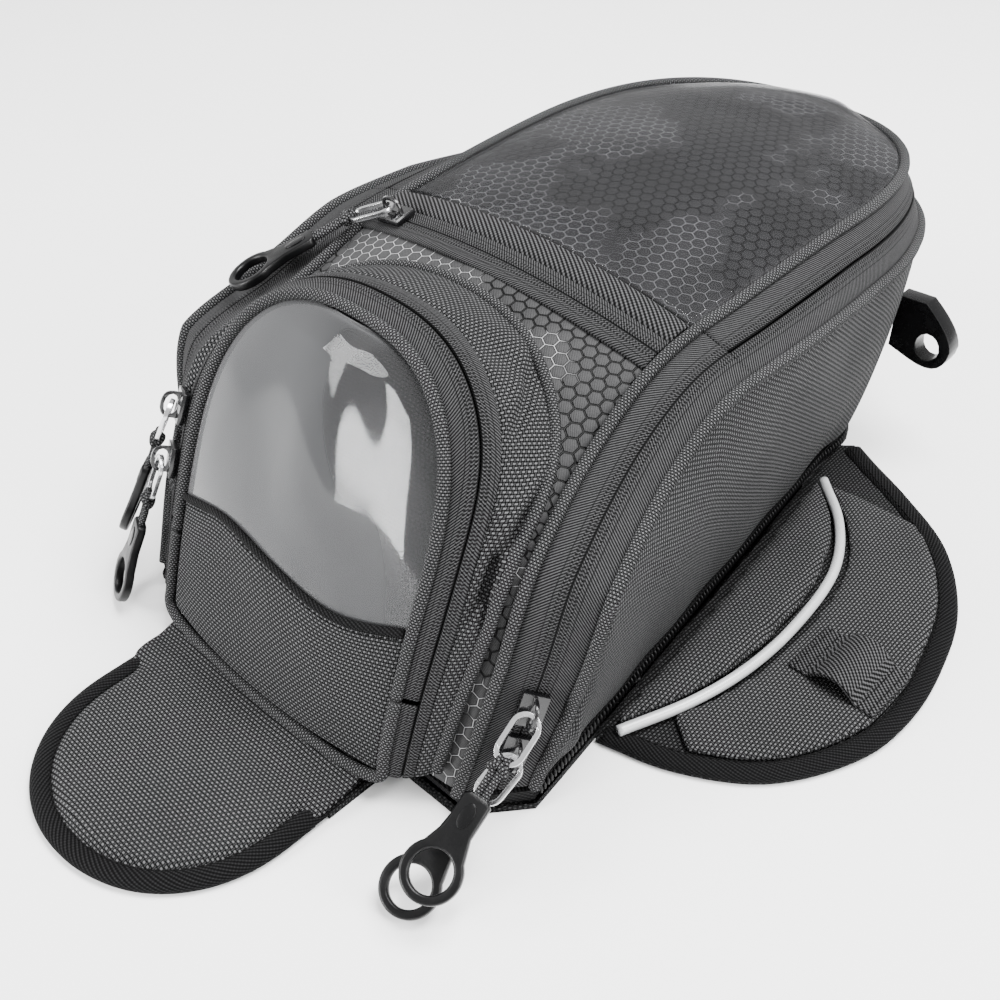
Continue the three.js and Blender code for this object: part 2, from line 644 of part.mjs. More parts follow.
function makeLug(side, sign) {
  const outline = new THREE.Shape();
  outline.moveTo(0, -12).lineTo(11, -15).quadraticCurveTo(27, -19, 28, -4);
  outline.quadraticCurveTo(27, 4, 13, 14).lineTo(0, 13);
  const hole = ellipseHole(17.5, -6, 5.6, 6.6);
  outline.holes.push(hole);
  const settings = { depth: 8, bevelEnabled: false, curveSegments: 7 };
  const lug = new THREE.ExtrudeGeometry(outline, settings).rotateX(Math.PI / 2);
  lug.translate(0, 4, 0);
  if (sign < 0) {
    lug.rotateZ(Math.PI);
  }
  lug.translate(sign * 68.4, 137, 58);
  add(`strap_lug_${side}`, lug, plastic());
}

// ---- Zip sliders and their pulls ----

// A slider has its bridge along its own X, which is along the zip, and its Z points out.
const bridgeWidth = 1.1;
function sliderGeometry() {
  const body = new THREE.BoxGeometry(sliderSize.length, sliderSize.width, sliderSize.thickness)
    .translate(0, 0, sliderSize.thickness / 2);
  const bridge = new THREE.Shape();
  bridge.moveTo(5.2, 0).lineTo(5.2, 3).quadraticCurveTo(5.2, 7.1, 0, 7.1);
  bridge.quadraticCurveTo(-5.2, 7.1, -5.2, 3).lineTo(-5.2, 0);
  const eye = ellipseHole(0, 3.2, 4.2, 2.6, 12);
  bridge.holes.push(eye);
  const settings = { depth: bridgeWidth, bevelEnabled: false, curveSegments: 5 };
  const arch = new THREE.ExtrudeGeometry(bridge, settings).rotateX(Math.PI / 2)
    .translate(0, bridgeWidth / 2, sliderSize.thickness - 0.6);
  return joined(body, arch);
}
const hangTwist = 0.3; // share of the turn from lying level to square with the slider
const eyeHeight = sliderSize.thickness - 0.6 + 3.2;

// The oval link, with its near end inside the slider's bridge. X runs along the pull.
function linkGeometry() {
  const oval = (inset, clockwise) => {
    const radius = link.width / 2 - inset;
    const straight = link.length - link.width;
    const shape = clockwise ? new THREE.Path() : new THREE.Shape();
    const near = link.width / 2;
    if (clockwise) {
      shape.absarc(near, 0, radius, -Math.PI / 2, Math.PI / 2, true);
      shape.absarc(near + straight, 0, radius, Math.PI / 2, -Math.PI / 2, true);
    } else {
      shape.absarc(near, 0, radius, Math.PI / 2, Math.PI * 1.5);
      shape.absarc(near + straight, 0, radius, -Math.PI / 2, Math.PI / 2);
    }
    return shape;
  };
  const ring = oval(0, false);
  ring.holes.push(oval(link.wire, true));
  const settings = { depth: link.wire, bevelEnabled: false, curveSegments: 7 };
  return new THREE.ExtrudeGeometry(ring, settings)
    .translate(-link.wire / 2, 0, -link.wire / 2);
}

// Cord and moulded finger pull as one flat piece, starting at the far end of the link.
function pullGeometry(cordLength) {
  const start = 0.9;
  const cord = new THREE.BoxGeometry(cordLength + 1, pull.cordWidth, pull.cordThickness)
    .translate(start + (cordLength + 1) / 2, 0, 0);
  const headStart = start + cordLength;
  const centre = headStart + pull.ringCentre;
  const neck = 5.2;
  const shape = new THREE.Shape();
  shape.moveTo(headStart, -pull.headHalf + 1.5).lineTo(headStart + 1.5, -pull.headHalf);
  shape.lineTo(headStart + pull.headLength - 4, -neck);
  const spread = 2.35;
  shape.absarc(centre, 0, pull.ringRadius, -spread, spread);
  shape.lineTo(headStart + pull.headLength - 4, neck);
  shape.lineTo(headStart + 1.5, pull.headHalf).lineTo(headStart, pull.headHalf - 1.5);
  const hole = ellipseHole(centre, 0, pull.holeRadius, pull.holeRadius, 18);
  shape.holes.push(hole);
  const settings = { depth: pull.thickness, bevelEnabled: false, curveSegments: 10 };
  const mould = new THREE.ExtrudeGeometry(shape, settings).translate(0, 0, -pull.thickness / 2);
  return joined(cord, mould);
}

// Puts a slider on the zip: along is the way of the zip and outward the way it faces.
// The link hangs from the slider's eye towards linkReach, and the pull from it towards reach.
function makeZipPull(name, place, along, outward, reach, cordLength = pull.cordLength,
  linkReach = reach) {
  const x = along.clone().normalize();
  const z = outward.clone().addScaledVector(x, -outward.dot(x)).normalize();
  const y = z.clone().cross(x);
  const frame = new THREE.Group();
  frame.quaternion.setFromRotationMatrix(new THREE.Matrix4().makeBasis(x, y, z));
  frame.position.copy(place);
  bag.add(frame);
  add(`${name}_slider`, sliderGeometry(), blackMetal(), frame);

  const eye = place.clone().addScaledVector(z, eyeHeight);
  const hangFrom = (point, direction) => {
    const hang = direction.clone().normalize();
    const threaded = y.clone().addScaledVector(hang, -y.dot(hang)).normalize();
    if (hang.clone().cross(threaded).z < 0) threaded.negate();
    const across = vec(0, 0, 1).cross(hang).normalize().lerp(threaded, hangTwist).normalize();
    const hanger = new THREE.Group();
    const flat = hang.clone().cross(across);
    hanger.quaternion.setFromRotationMatrix(new THREE.Matrix4().makeBasis(hang, across, flat));
    hanger.position.copy(point);
    bag.add(hanger);
    return hanger;
  };
  add(`${name}_link`, linkGeometry(), nickel(), hangFrom(eye, linkReach));
  const end = linkReach.clone().normalize().multiplyScalar(link.length - link.wire / 2).add(eye);
  add(`${name}_pull`, pullGeometry(cordLength), rubber(), hangFrom(end, reach));
}

function makeZips() {
  const lift = 0.9; // of a slider's body above its tape
  // Main zip: both sliders are parked at the foot of the right-hand leg.
  const mainPlace = (u) => {
    const place = gussetAt(u, 0.5);
    const along = gussetAt(u + 0.01, 0.5).sub(gussetAt(u - 0.01, 0.5)).normalize();
    const across = gussetAt(u, 0.6).sub(gussetAt(u, 0.4)).normalize();
    const outward = across.cross(along).normalize();
    if (outward.x < 0) outward.negate();
    return { place: place.addScaledVector(outward, lift), along, outward };
  };
  const high = mainPlace(0.1);
  makeZipPull('main_upper', high.place, high.along, high.outward, vec(4, -48, -26), 11);
  const low = mainPlace(0.055);
  makeZipPull('main_lower', low.place, low.along, low.outward, vec(-1.6, -46, -22.5), 6);

  // Phone pocket: the two sliders meet half way up the left-hand wall, on the wall's side
  // of the zip, so that the cover opens past them.
  const runnerShift = 0.165;
  const pocketPlace = (t) => {
    const spot = (share) => mirrored(pocketWallAt(share, pocketZip + runnerShift));
    const along = spot(t + 0.02).sub(spot(t - 0.02)).normalize();
    const across = mirrored(pocketWallAt(t, pocketZip + runnerShift + 0.1))
      .sub(mirrored(pocketWallAt(t, pocketZip + runnerShift - 0.1))).normalize();
    const outward = across.cross(along).normalize();
    if (outward.x > 0) outward.negate();
    return { place: spot(t).addScaledVector(outward, lift), along, outward };
  };
  const upper = pocketPlace(0.412);
  makeZipPull('pocket_upper', upper.place, upper.along, upper.outward, vec(-0.38, -0.2, -0.9));
  const lower = pocketPlace(0.305);
  makeZipPull('pocket_lower', lower.place, lower.along, lower.outward, vec(-0.18, -0.36, -0.91), 11.5);

  // Map pocket: closed, with its slider at the left-hand end.
  const mapSpot = (across) => crownedAt(0.414, across, tapeThickness + clearance + lift);
  const spot = mapSpot(-0.8);
  const along = mapSpot(-0.72).sub(mapSpot(-0.88)).normalize();
  const forward = crownedAt(0.43, -0.8).sub(crownedAt(0.4, -0.8)).normalize();
  makeZipPull('map', spot, along, along.clone().cross(forward), vec(-0.5, -0.75, -0.43),
    pull.cordLength, vec(-0.8, -0.48, -0.36));

  // Base zip: a plain slider on the left-hand side.
  const at = footAt(0.12, bandBottom + bandHeight / 2);
  const toward = footAt(0.2, at.z).sub(at).normalize();
  const slider = new THREE.BoxGeometry(1.8, 11, 4.6);
  slider.rotateZ(Math.atan2(-toward.x, toward.y));
  slider.translate(at.x + 1.3, at.y, at.z);
  slider.scale(-1, 1, 1);
  const index = slider.index.array;
  index.reverse();
  add('base_slider', slider, blackMetal());
}

makeBase();
makeWalls();
makeZipBand();
makePanels();
makePocket();
makeFrontFlap();
for (const [side, sign] of sides) {
  makeWing(side, sign);
  makeLug(side, sign);
}
makeZips();

export default bag;
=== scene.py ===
"""Soft goods, hardware, finishes and studio for a magnetic motorcycle tank bag.

Lengths in the makers below are millimetres and become metres when a mesh is made.
+Z is up, +Y runs from the phone pocket to the rounded far end.
"""
import json
import math

import bmesh
import bpy
import numpy as np
from mathutils import Matrix, Vector


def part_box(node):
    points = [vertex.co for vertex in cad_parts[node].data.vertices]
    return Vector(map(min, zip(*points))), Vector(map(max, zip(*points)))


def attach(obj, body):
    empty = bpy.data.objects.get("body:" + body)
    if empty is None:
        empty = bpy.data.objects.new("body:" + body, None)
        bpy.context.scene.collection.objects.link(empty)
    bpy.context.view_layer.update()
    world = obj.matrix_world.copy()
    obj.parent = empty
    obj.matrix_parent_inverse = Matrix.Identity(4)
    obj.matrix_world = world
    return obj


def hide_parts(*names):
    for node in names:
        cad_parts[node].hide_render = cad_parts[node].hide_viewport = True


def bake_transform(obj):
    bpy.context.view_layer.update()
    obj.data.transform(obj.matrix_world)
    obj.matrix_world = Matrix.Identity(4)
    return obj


bl_info = {
    "name": "Tank Bag",
    "version": (1, 0, 0),
    "blender": (4, 5, 0),
    "location": "View3D > Sidebar > Tank Bag",
    "description": "Makes the cloth, zips and hardware of a motorcycle tank bag",
    "category": "Object",
}

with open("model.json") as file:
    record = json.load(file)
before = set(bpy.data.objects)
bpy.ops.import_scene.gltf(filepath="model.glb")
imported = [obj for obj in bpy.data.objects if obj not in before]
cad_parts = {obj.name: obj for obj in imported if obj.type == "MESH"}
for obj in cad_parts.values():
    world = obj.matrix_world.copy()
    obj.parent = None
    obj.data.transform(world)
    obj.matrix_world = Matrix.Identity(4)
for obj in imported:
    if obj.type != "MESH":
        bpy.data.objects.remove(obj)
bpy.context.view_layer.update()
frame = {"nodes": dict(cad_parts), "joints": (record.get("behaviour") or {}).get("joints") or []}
MM = 0.001

# ---- Lengths of the bag, in millimetres ----

PIPING = 2.2
SEAM_INSET = 2.6
GUSSET = 26.5
TOP_STATIONS = [(83, -151, 9), (86, -135, 53), (84, -115, 92), (74, -76, 110),
                (71, -40, 124.5), (72, 5, 129.5), (72, 57, 132)]
TOP_ARC = {"start": 57, "half": 72, "reach": 108, "power": 2.5, "low": 132, "high": 125}
GUSSET_TURN = [(0, 50), (0.11, 48), (0.215, 16), (0.32, 9), (0.414, 13),
               (0.52, 24), (0.646, 47), (0.78, 62), (0.9, 70), (1, 74)]
PANEL_CROWN = [(0, 6), (0.11, 15), (0.23, 21), (0.32, 17), (0.414, 8.5),
               (0.65, 8), (0.85, 6), (0.97, 2), (1, 1)]
FOOT_CORNER = (100, -131)
FOOT_FRONT = (84, -151)
FOOT_ARC = {"start": 90, "half": 68, "reach": 41, "power": 4}
FOOT_MATCH = [(0, 0), (0.11, 0.045), (0.215, 0.1), (0.32, 0.2), (0.414, 0.29),
              (0.52, 0.42), (0.646, 0.58), (0.86, 0.83), (1, 1)]
WALL_FOOT = 8.5
REAR_SEAM = 0.86
SIDE_BULGE = 4
LID_FOLD = 0.458
COVER = {"foot_y": -164.4, "foot_z": 9.5, "half": 60, "leg": 71, "height": 145,
         "power": 2.57, "lean": 14.4, "extra": 16.5, "bulge": 7}
COVER_FOLD = 34
POCKET_BASE = {"half": 75, "half_top": 80, "leg": 68, "height": 152, "power": 2.23,
               "flare": 60}
EDGE_LENGTH = 418
POCKET_ZIP = 0.285
LEG_SHARE = 0.4
# Creases in the pocket's wall: place along it, width, lean and depth.
WALL_CREASES = ((0.17, 0.02, 0.1, 0.9), (0.25, 0.016, -0.08, 0.8), (0.31, 0.012, 0.09, 0.6),
                (0.66, 0.014, 0.05, 0.6), (0.75, 0.02, -0.05, 0.9), (0.83, 0.016, 0.04, 0.8),
                (0.42, 0.02, -0.05, 0.35))
FLAP = {"half": 54, "fold": -184, "tip": -254, "shoulder": 16, "power": 2.1}
# A finger pull: its moulded head, neck, and ring with a hole.
PULL = {"head": 37.3, "neck_half": 5.0, "neck_end": 12.5, "ring": 27, "ring_out": 10.3,
        "ring_in": 7.1, "half_thick": 1.8}
WING_EDGE = [(98, -96), (125, -88), (153, -69), (171, -36), (174, -10), (170, 18),
             (159, 50), (136, 80), (106, 98), (84, 108), (72, 114)]
WING_ROLL = [(101, -90), (111.5, -61), (116.5, -35), (117, -5), (110.6, 34), (96, 60), (76, 79)]
SIDES = (("right", 1), ("left", -1))
ZIPS = ("main_upper", "main_lower", "pocket_upper", "pocket_lower", "map")


# ---- Numbers along lines ----

def steps(count, low=0.0, high=1.0):
    """Even stops from low to high."""
    return np.linspace(low, high, count)


def ramp(x, stops):
    """The value at x of straight runs through (x, value) stops."""
    return np.interp(x, [s[0] for s in stops], [s[1] for s in stops])


def smooth(x, low, high):
    """0 below low, 1 above high and an even S between them."""
    t = np.clip((x - low) / (high - low), 0, 1)
    return t * t * (3 - 2 * t)


def unit(v):
    """Vectors brought to length 1."""
    return v / np.maximum(np.linalg.norm(v, axis=-1, keepdims=True), 1e-12)


def dot(a, b):
    """Dot products, kept as a column so they can scale vectors."""
    return np.sum(a * b, axis=-1, keepdims=True)


def vec(*parts):
    """Arrays of x, y and z as one array of points."""
    return np.stack(np.broadcast_arrays(*[np.asarray(p, float) for p in parts]), axis=-1)


def mirror_x(points):
    """Points on the other side of the bag."""
    return points * np.array([-1.0, 1.0, 1.0])


def corner(half, reach, power, angle):
    """Quarter of a rounded corner: angle 0 on the first axis, 90 degrees on the second."""
    first = half * np.abs(np.cos(angle)) ** (2 / power)
    second = reach * np.abs(np.sin(angle)) ** (2 / power)
    return first, second


def through(points, count):
    """Points of a smooth line through the given ones, close together."""
    p = np.asarray(points, float)
    p = np.vstack([2 * p[0] - p[1], p, 2 * p[-1] - p[-2]])
    out = []
    spans = len(p) - 3
    for i in range(spans):
        p0, p1, p2, p3 = p[i:i + 4]
        gap = [max(np.linalg.norm(b - a) ** 0.5, 1e-4) for a, b in ((p0, p1), (p1, p2), (p2, p3))]
        way1 = ((p1 - p0) / gap[0] - (p2 - p0) / (gap[0] + gap[1]) + (p2 - p1) / gap[1]) * gap[1]
        way2 = ((p2 - p1) / gap[1] - (p3 - p1) / (gap[1] + gap[2]) + (p3 - p2) / gap[2]) * gap[1]
        t = steps(count, 0, 1)[:, None]
        t = t[:-1] if i < spans - 1 else t
        out.append(p1 * (2 * t ** 3 - 3 * t ** 2 + 1) + way1 * (t ** 3 - 2 * t ** 2 + t)
                   + p2 * (3 * t ** 2 - 2 * t ** 3) + way2 * (t ** 3 - t ** 2))
    return np.vstack(out)


def even(points, count):
    """The same line at evenly spaced points."""
    p = np.asarray(points, float)
    length = np.concatenate([[0], np.cumsum(np.linalg.norm(np.diff(p, axis=0), axis=1))])
    at = np.linspace(0, length[-1], count)
    return np.stack([np.interp(at, length, p[:, k]) for k in range(p.shape[1])], axis=1)


# ---- The lofted edges of the bag ----

def make_edge():
    """Table of the whole top edge, from the right foot round the rear to the left foot."""
    angle = steps(25)[1:-1] * np.pi
    x, y = corner(TOP_ARC["half"], TOP_ARC["reach"], TOP_ARC["power"], angle)
    x = np.where(np.abs(np.cos(angle)) < 1e-9, 0, np.sign(np.cos(angle)) * x)
    level = TOP_ARC["low"] + (TOP_ARC["high"] - TOP_ARC["low"]) * (y / TOP_ARC["reach"]) ** 2
    right = np.array(TOP_STATIONS, float)
    left = mirror_x(right)[::-1]
    return even(through(np.vstack([right, vec(x, TOP_ARC["start"] + y, level), left]), 40), 2401)


EDGE = make_edge()
EDGE_WAY = unit(np.gradient(EDGE, axis=0))
FOOT_TURN = steps(17) * np.pi / 2
FOOT_X, FOOT_Y = corner(FOOT_ARC["half"], FOOT_ARC["reach"], FOOT_ARC["power"], FOOT_TURN)
FOOT_X[-1] = 0
FOOT_LINE = np.vstack([[FOOT_CORNER], np.stack([FOOT_X, FOOT_ARC["start"] + FOOT_Y], axis=1)])


def looked_up(table, share):
    """The point at a share, 0 to 1, of the way down a table of points."""
    place = np.clip(np.asarray(share, float), 0, 1) * (len(table) - 1)
    row = np.arange(len(table))
    return np.stack([np.interp(place, row, table[:, k]) for k in range(3)], axis=-1)


def top(u):
    """A point of the upper seam: u runs 0 to 1 from the right foot to the middle of the rear."""
    return looked_up(EDGE, np.asarray(u) / 2)


def across(u):
    """The directions outwards in plan, into the bag and along the edge."""
    u = np.asarray(u, float)
    way = looked_up(EDGE_WAY, u / 2)
    out = unit(vec(way[..., 1], -way[..., 0], 0 * u))
    side = np.clip(1 - u / 0.4, 0, 1)[..., None]
    out = unit(out + (np.array([1.0, 0, 0]) - out) * side)
    out = unit(out - way * dot(out, way))
    into = np.cross(way, out)
    near = (1 - smooth(u, 0, 0.12))[..., None]
    into = unit(into + (np.array([0, 1.0, 0]) - into) * near)
    out = out * np.concatenate([0 * near + 1, 0 * near + 1, 1 - near], axis=-1)
    return out, into, way


def gusset(u, f):
    """A point of the zip band: f is 0 at the upper piping and 1 at the lower one."""
    out, into, _ = across(u)
    turn = np.radians(ramp(u, GUSSET_TURN))[..., None]
    f = np.asarray(f, float)[..., None] * GUSSET
    return top(u) + out * f * np.cos(turn) + into * f * np.sin(turn)


def foot(q, level=WALL_FOOT):
    """A point of the foot of the walls at share q of the way to the rear."""
    length = np.concatenate([[0], np.cumsum(np.linalg.norm(np.diff(FOOT_LINE, axis=0), axis=1))])
    at = np.asarray(q, float) * length[-1]
    return vec(np.interp(at, length, FOOT_LINE[:, 0]), np.interp(at, length, FOOT_LINE[:, 1]), level)


def wall(u, v, inset=SEAM_INSET):
    """A point of the outer wall: v is 0 under the lower piping and 1 at the foot."""
    high = gusset(u, 1 + 0 * np.asarray(u))
    low = foot(ramp(u, FOOT_MATCH))
    out, _, way = across(u)
    down = low - high
    start = high + unit(down - way * dot(down, way)) * inset
    v = np.asarray(v, float)[..., None]
    bulge = SIDE_BULGE * 4 * v * (1 - v) * np.minimum(1, np.linalg.norm(down, axis=-1, keepdims=True) / 60)
    return start + (low - start) * v + out * np.array([1, 1, 0]) * bulge


def crowned(u, side, lift=0.0, inset=SEAM_INSET):
    """A point of the crowned panel between the two top edges: side runs -1 to 1."""
    out, _, way = across(u)
    edge = top(u) - out * inset
    rise = vec(0 * way[..., 0], -way[..., 2], way[..., 1])
    steep = np.linalg.norm(rise, axis=-1, keepdims=True)
    rise = np.where(steep > 0.3, unit(rise), np.array([0, 0, 1.0]))
    height = ramp(u, PANEL_CROWN) * (1 - side ** 2) + lift
    return vec(side * edge[..., 0], edge[..., 1], edge[..., 2]) + rise * height[..., None]


def both_sides(place):
    """The same for a share w from 0, the right foot, to 2, the left foot."""
    def mirrored(w, *rest):
        w = np.asarray(w, float)
        points = place(np.where(w <= 1, w, 2 - w), *rest)
        return points * vec(np.where(w <= 1, 1, -1), 1, 1)
    return mirrored


# ---- The phone pocket's curves ----

def cover(x, height, depth=0.0):
    """A point of the cover, which leans back as it rises."""
    height = np.asarray(height, float)
    y = COVER["foot_y"] + 0 * height
    z = COVER["foot_z"] + 0 * height
    count = 24
    for i in range(count):
        share = (i + 0.5) / count
        lean = np.radians(COVER["lean"] + COVER["extra"] * share * height / COVER["height"])
        y = y + np.sin(lean) * height / count
        z = z + np.cos(lean) * height / count
    lean = np.radians(COVER["lean"] + COVER["extra"] * height / COVER["height"])
    return vec(x, y + np.cos(lean) * depth, z - np.sin(lean) * depth)


def arch(form, t, inset=0.0):
    """Half width and height of an arch at share t from its foot to its crown."""
    half = form["half"] - inset
    height = form["height"] - inset
    turn = np.clip((t - LEG_SHARE) / (1 - LEG_SHARE), 0, 1) * np.pi / 2
    x, y = corner(half, height - form["leg"], form["power"], turn)
    x = np.where(t >= 1, 0, x)
    straight = t < LEG_SHARE
    return np.where(straight, half, x), np.where(straight, form["leg"] * t / LEG_SHARE, form["leg"] + y)


def rim(t):
    """The edge of the pocket's cover, t from its foot to its crown."""
    return cover(*arch(COVER, np.asarray(t, float)))


def flared(half, height):
    """Half width of the pocket's base, which spreads from half to half_top as it rises."""
    spread = POCKET_BASE["half_top"] / POCKET_BASE["half"] - 1
    return half * (1 + spread * np.minimum(1, height / POCKET_BASE["flare"]))


def pocket_foot(t):
    """The line where the pocket's wall meets the front panel, t from its foot to its crown."""
    x, height = arch(POCKET_BASE, np.asarray(t, float))
    x = flared(x, height)
    u = 0.012 + height / EDGE_LENGTH
    return crowned(u, x / (top(u)[..., 0] - SEAM_INSET), PIPING + 0.5)


def pocket_wall(t, f):
    """A point of the pocket's wall: f is 0 at the cover's rim and 1 at the front panel."""
    f = np.asarray(f, float)[..., None]
    point = rim(t) * (1 - f) + pocket_foot(t) * f
    out = unit(vec(point[..., 0], 0 * point[..., 0], np.maximum(0, point[..., 2] - 70)))
    return point + out * 3 * 4 * f * (1 - f)


def height_share(height):
    """The share t of the rim at a height on its straight leg."""
    return height / COVER["leg"] * LEG_SHARE


# ---- Making meshes ----

def new_object(name, data):
    """Puts a mesh in the scene as an object."""
    piece = bpy.data.objects.new(name, data)
    bpy.context.scene.collection.objects.link(piece)
    return piece


def mesh_piece(name, points, faces, cloth=None):
    """A smooth mesh, with its cloth map in metres along and across."""
    data = bpy.data.meshes.new(name)
    data.from_pydata((np.asarray(points) * MM).tolist(), [], faces)
    if cloth is not None:
        layer = data.uv_layers.new(name="cloth")
        loops = np.zeros(len(data.loops), np.int32)
        data.loops.foreach_get("vertex_index", loops)
        layer.data.foreach_set("uv", (np.asarray(cloth)[loops] * MM).astype(np.float32).ravel())
    data.polygons.foreach_set("use_smooth", np.ones(len(data.polygons), bool))
    data.update()
    return new_object(name, data)


def shell(name, surface, columns, rows, thickness, inside=(0, 20, 60), shape=None, centre=0.5):
    """A sheet of cloth under surface(a, b), facing away from the point inside.

    shape(a, b, along, beside) gives a rise in millimetres, and along and beside are the
    distances over the cloth. centre is the share of the cloth's width at which the cloth
    map has its zero.
    """
    nudge = 1e-3
    a, b = np.meshgrid(steps(columns + 1), steps(rows + 1), indexing="ij")
    here = surface(a, b)
    along = surface(np.minimum(a + nudge, 1), b) - surface(np.maximum(a - nudge, 0), b)
    beside = surface(a, np.minimum(b + nudge, 1)) - surface(a, np.maximum(b - nudge, 0))
    normal = unit(np.cross(along, beside))
    if np.sum(normal * (here - np.asarray(inside, float))) < 0:
        normal = -normal
    run = np.linalg.norm(np.diff(here[:, rows // 2], axis=0), axis=-1)
    run = np.concatenate([[0], np.cumsum(run)])
    run = (run - run[-1] / 2)[:, None] + 0 * a
    span = np.linalg.norm(np.diff(here, axis=1), axis=-1)
    span = np.concatenate([np.zeros((len(a), 1)), np.cumsum(span, axis=1)], axis=1)
    if shape:
        here = here + normal * shape(a, b, run, span)[..., None]
    cloth = np.stack([run, span - centre * span[:, -1:]], axis=-1).reshape(-1, 2)
    points = np.vstack([here.reshape(-1, 3), (here - normal * thickness).reshape(-1, 3)])
    layer = len(cloth)

    def at(k, i, j):
        return k * layer + i * (rows + 1) + j

    faces = []
    for i in range(columns):
        for j in range(rows):
            faces.append((at(0, i, j), at(0, i + 1, j), at(0, i + 1, j + 1), at(0, i, j + 1)))
            faces.append((at(1, i, j), at(1, i, j + 1), at(1, i + 1, j + 1), at(1, i + 1, j)))
        faces.append((at(0, i, 0), at(1, i, 0), at(1, i + 1, 0), at(0, i + 1, 0)))
        faces.append((at(0, i, rows), at(0, i + 1, rows), at(1, i + 1, rows), at(1, i, rows)))
    for j in range(rows):
        faces.append((at(0, 0, j), at(0, 0, j + 1), at(1, 0, j + 1), at(1, 0, j)))
        faces.append((at(0, columns, j), at(1, columns, j), at(1, columns, j + 1), at(0, columns, j + 1)))
    piece = mesh_piece(name, points, faces, np.vstack([cloth, cloth]))
    face_out(piece)
    return piece


def face_out(piece):
    """Turns a closed mesh's faces outwards and merges doubled points."""
    form = bmesh.new()
    form.from_mesh(piece.data)
    bmesh.ops.remove_doubles(form, verts=form.verts, dist=1e-6)
    bmesh.ops.dissolve_degenerate(form, edges=form.edges, dist=1e-7)
    bmesh.ops.recalc_face_normals(form, faces=form.faces)
    if form.calc_volume(signed=True) < 0:
        bmesh.ops.reverse_faces(form, faces=form.faces)
    form.to_mesh(piece.data)
    form.free()
    return piece


def tube(name, line, radius, sides=12, flat=1.0, up=None, ring=False):
    """A round or flattened cord along close points, with its cloth map."""
    line = np.asarray(line, float)
    count = len(line)
    way = unit(np.roll(line, -1, 0) - np.roll(line, 1, 0)) if ring else unit(np.gradient(line, axis=0))
    normals = np.zeros_like(line)
    first = np.array(up if up is not None else [0, 0, 1.0])
    normals[0] = unit(first - way[0] * np.dot(first, way[0]))
    for i in range(1, count):
        last = np.array(up, float) if up is not None else normals[i - 1]
        normals[i] = unit(last - way[i] * np.dot(last, way[i]))
    side = np.cross(way, normals)
    angle = steps(sides + 1)[:-1] * 2 * np.pi
    ring_points = (line[:, None, :] + radius * np.cos(angle)[None, :, None] * side[:, None, :]
                   + radius * flat * np.sin(angle)[None, :, None] * normals[:, None, :])
    points = ring_points.reshape(-1, 3)
    run = np.concatenate([[0], np.cumsum(np.linalg.norm(np.diff(line, axis=0), axis=1))])
    cloth = np.stack([np.repeat(run, sides), np.tile(angle * radius, count)], axis=1)
    faces = []
    for i in range(count if ring else count - 1):
        k = (i + 1) % count
        for j in range(sides):
            m = (j + 1) % sides
            faces.append((i * sides + j, k * sides + j, k * sides + m, i * sides + m))
    if not ring:
        faces.append(tuple(range(sides)))
        faces.append(tuple((count - 1) * sides + j for j in reversed(range(sides))))
    return face_out(mesh_piece(name, points, faces, cloth))


def project_cloth(piece):
    """A cloth map that looks at each face from its widest side."""
    data = piece.data
    layer = data.uv_layers.get("cloth") or data.uv_layers.new(name="cloth")
    pairs = {0: (1, 2), 1: (0, 2), 2: (0, 1)}
    for face in data.polygons:
        widest = max(range(3), key=lambda k: abs(face.normal[k]))
        first, second = pairs[widest]
        for loop in face.loop_indices:
            point = data.vertices[data.loops[loop].vertex_index].co
            layer.data[loop].uv = (point[first], point[second])
    return piece


def settled(piece):
    """Applies the modifiers of a piece."""
    bpy.context.view_layer.update()
    shown = piece.evaluated_get(bpy.context.evaluated_depsgraph_get())
    data = bpy.data.meshes.new_from_object(shown)
    piece.modifiers.clear()
    piece.data = data
    return piece


def rounded(piece, width, segments=2, angle=30):
    """Breaks the sharp edges of a piece, by a width in millimetres."""
    edge = piece.modifiers.new("edges", "BEVEL")
    edge.width = width * MM
    edge.segments = segments
    edge.limit_method = "ANGLE"
    edge.angle_limit = math.radians(angle)
    edge.harden_normals = False
    return settled(piece)


def plate(name, outline, low, high, holes=()):
    """A flat plate between two levels, over an outline that may have holes."""
    form = bmesh.new()
    loops = [outline, *holes]
    edges = []
    for loop in loops:
        verts = [form.verts.new((x * MM, y * MM, low * MM)) for x, y in loop]
        edges += [form.edges.new((verts[i], verts[(i + 1) % len(verts)])) for i in range(len(verts))]
    made = bmesh.ops.triangle_fill(form, use_beauty=True, use_dissolve=False, edges=edges)
    faces = [g for g in made["geom"] if isinstance(g, bmesh.types.BMFace)]
    raised = bmesh.ops.extrude_face_region(form, geom=faces)
    moved = [g for g in raised["geom"] if isinstance(g, bmesh.types.BMVert)]
    bmesh.ops.translate(form, verts=moved, vec=(0, 0, (high - low) * MM))
    bmesh.ops.recalc_face_normals(form, faces=form.faces)
    data = bpy.data.meshes.new(name)
    form.to_mesh(data)
    form.free()
    return face_out(new_object(name, data))


def copy_of(node, name):
    """A merged copy of a frame piece, ready for finer work."""
    data = frame["nodes"][node].data.copy()
    data.name = name
    data.materials.clear()
    return face_out(new_object(name, data))


def finish(piece, body, material, nodes=()):
    """Gives a piece its finish, its body and the frame pieces it stands for."""
    piece.data.materials.clear()
    piece.data.materials.append(material)
    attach(piece, body)
    if nodes:
        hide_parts(*nodes)
    return piece


def smooth_shade(piece, angle=40):
    """Smooth shading that keeps edges sharper than the angle."""
    data = piece.data
    data.polygons.foreach_set("use_smooth", np.ones(len(data.polygons), bool))
    data.set_sharp_from_angle(angle=math.radians(angle))
    return piece


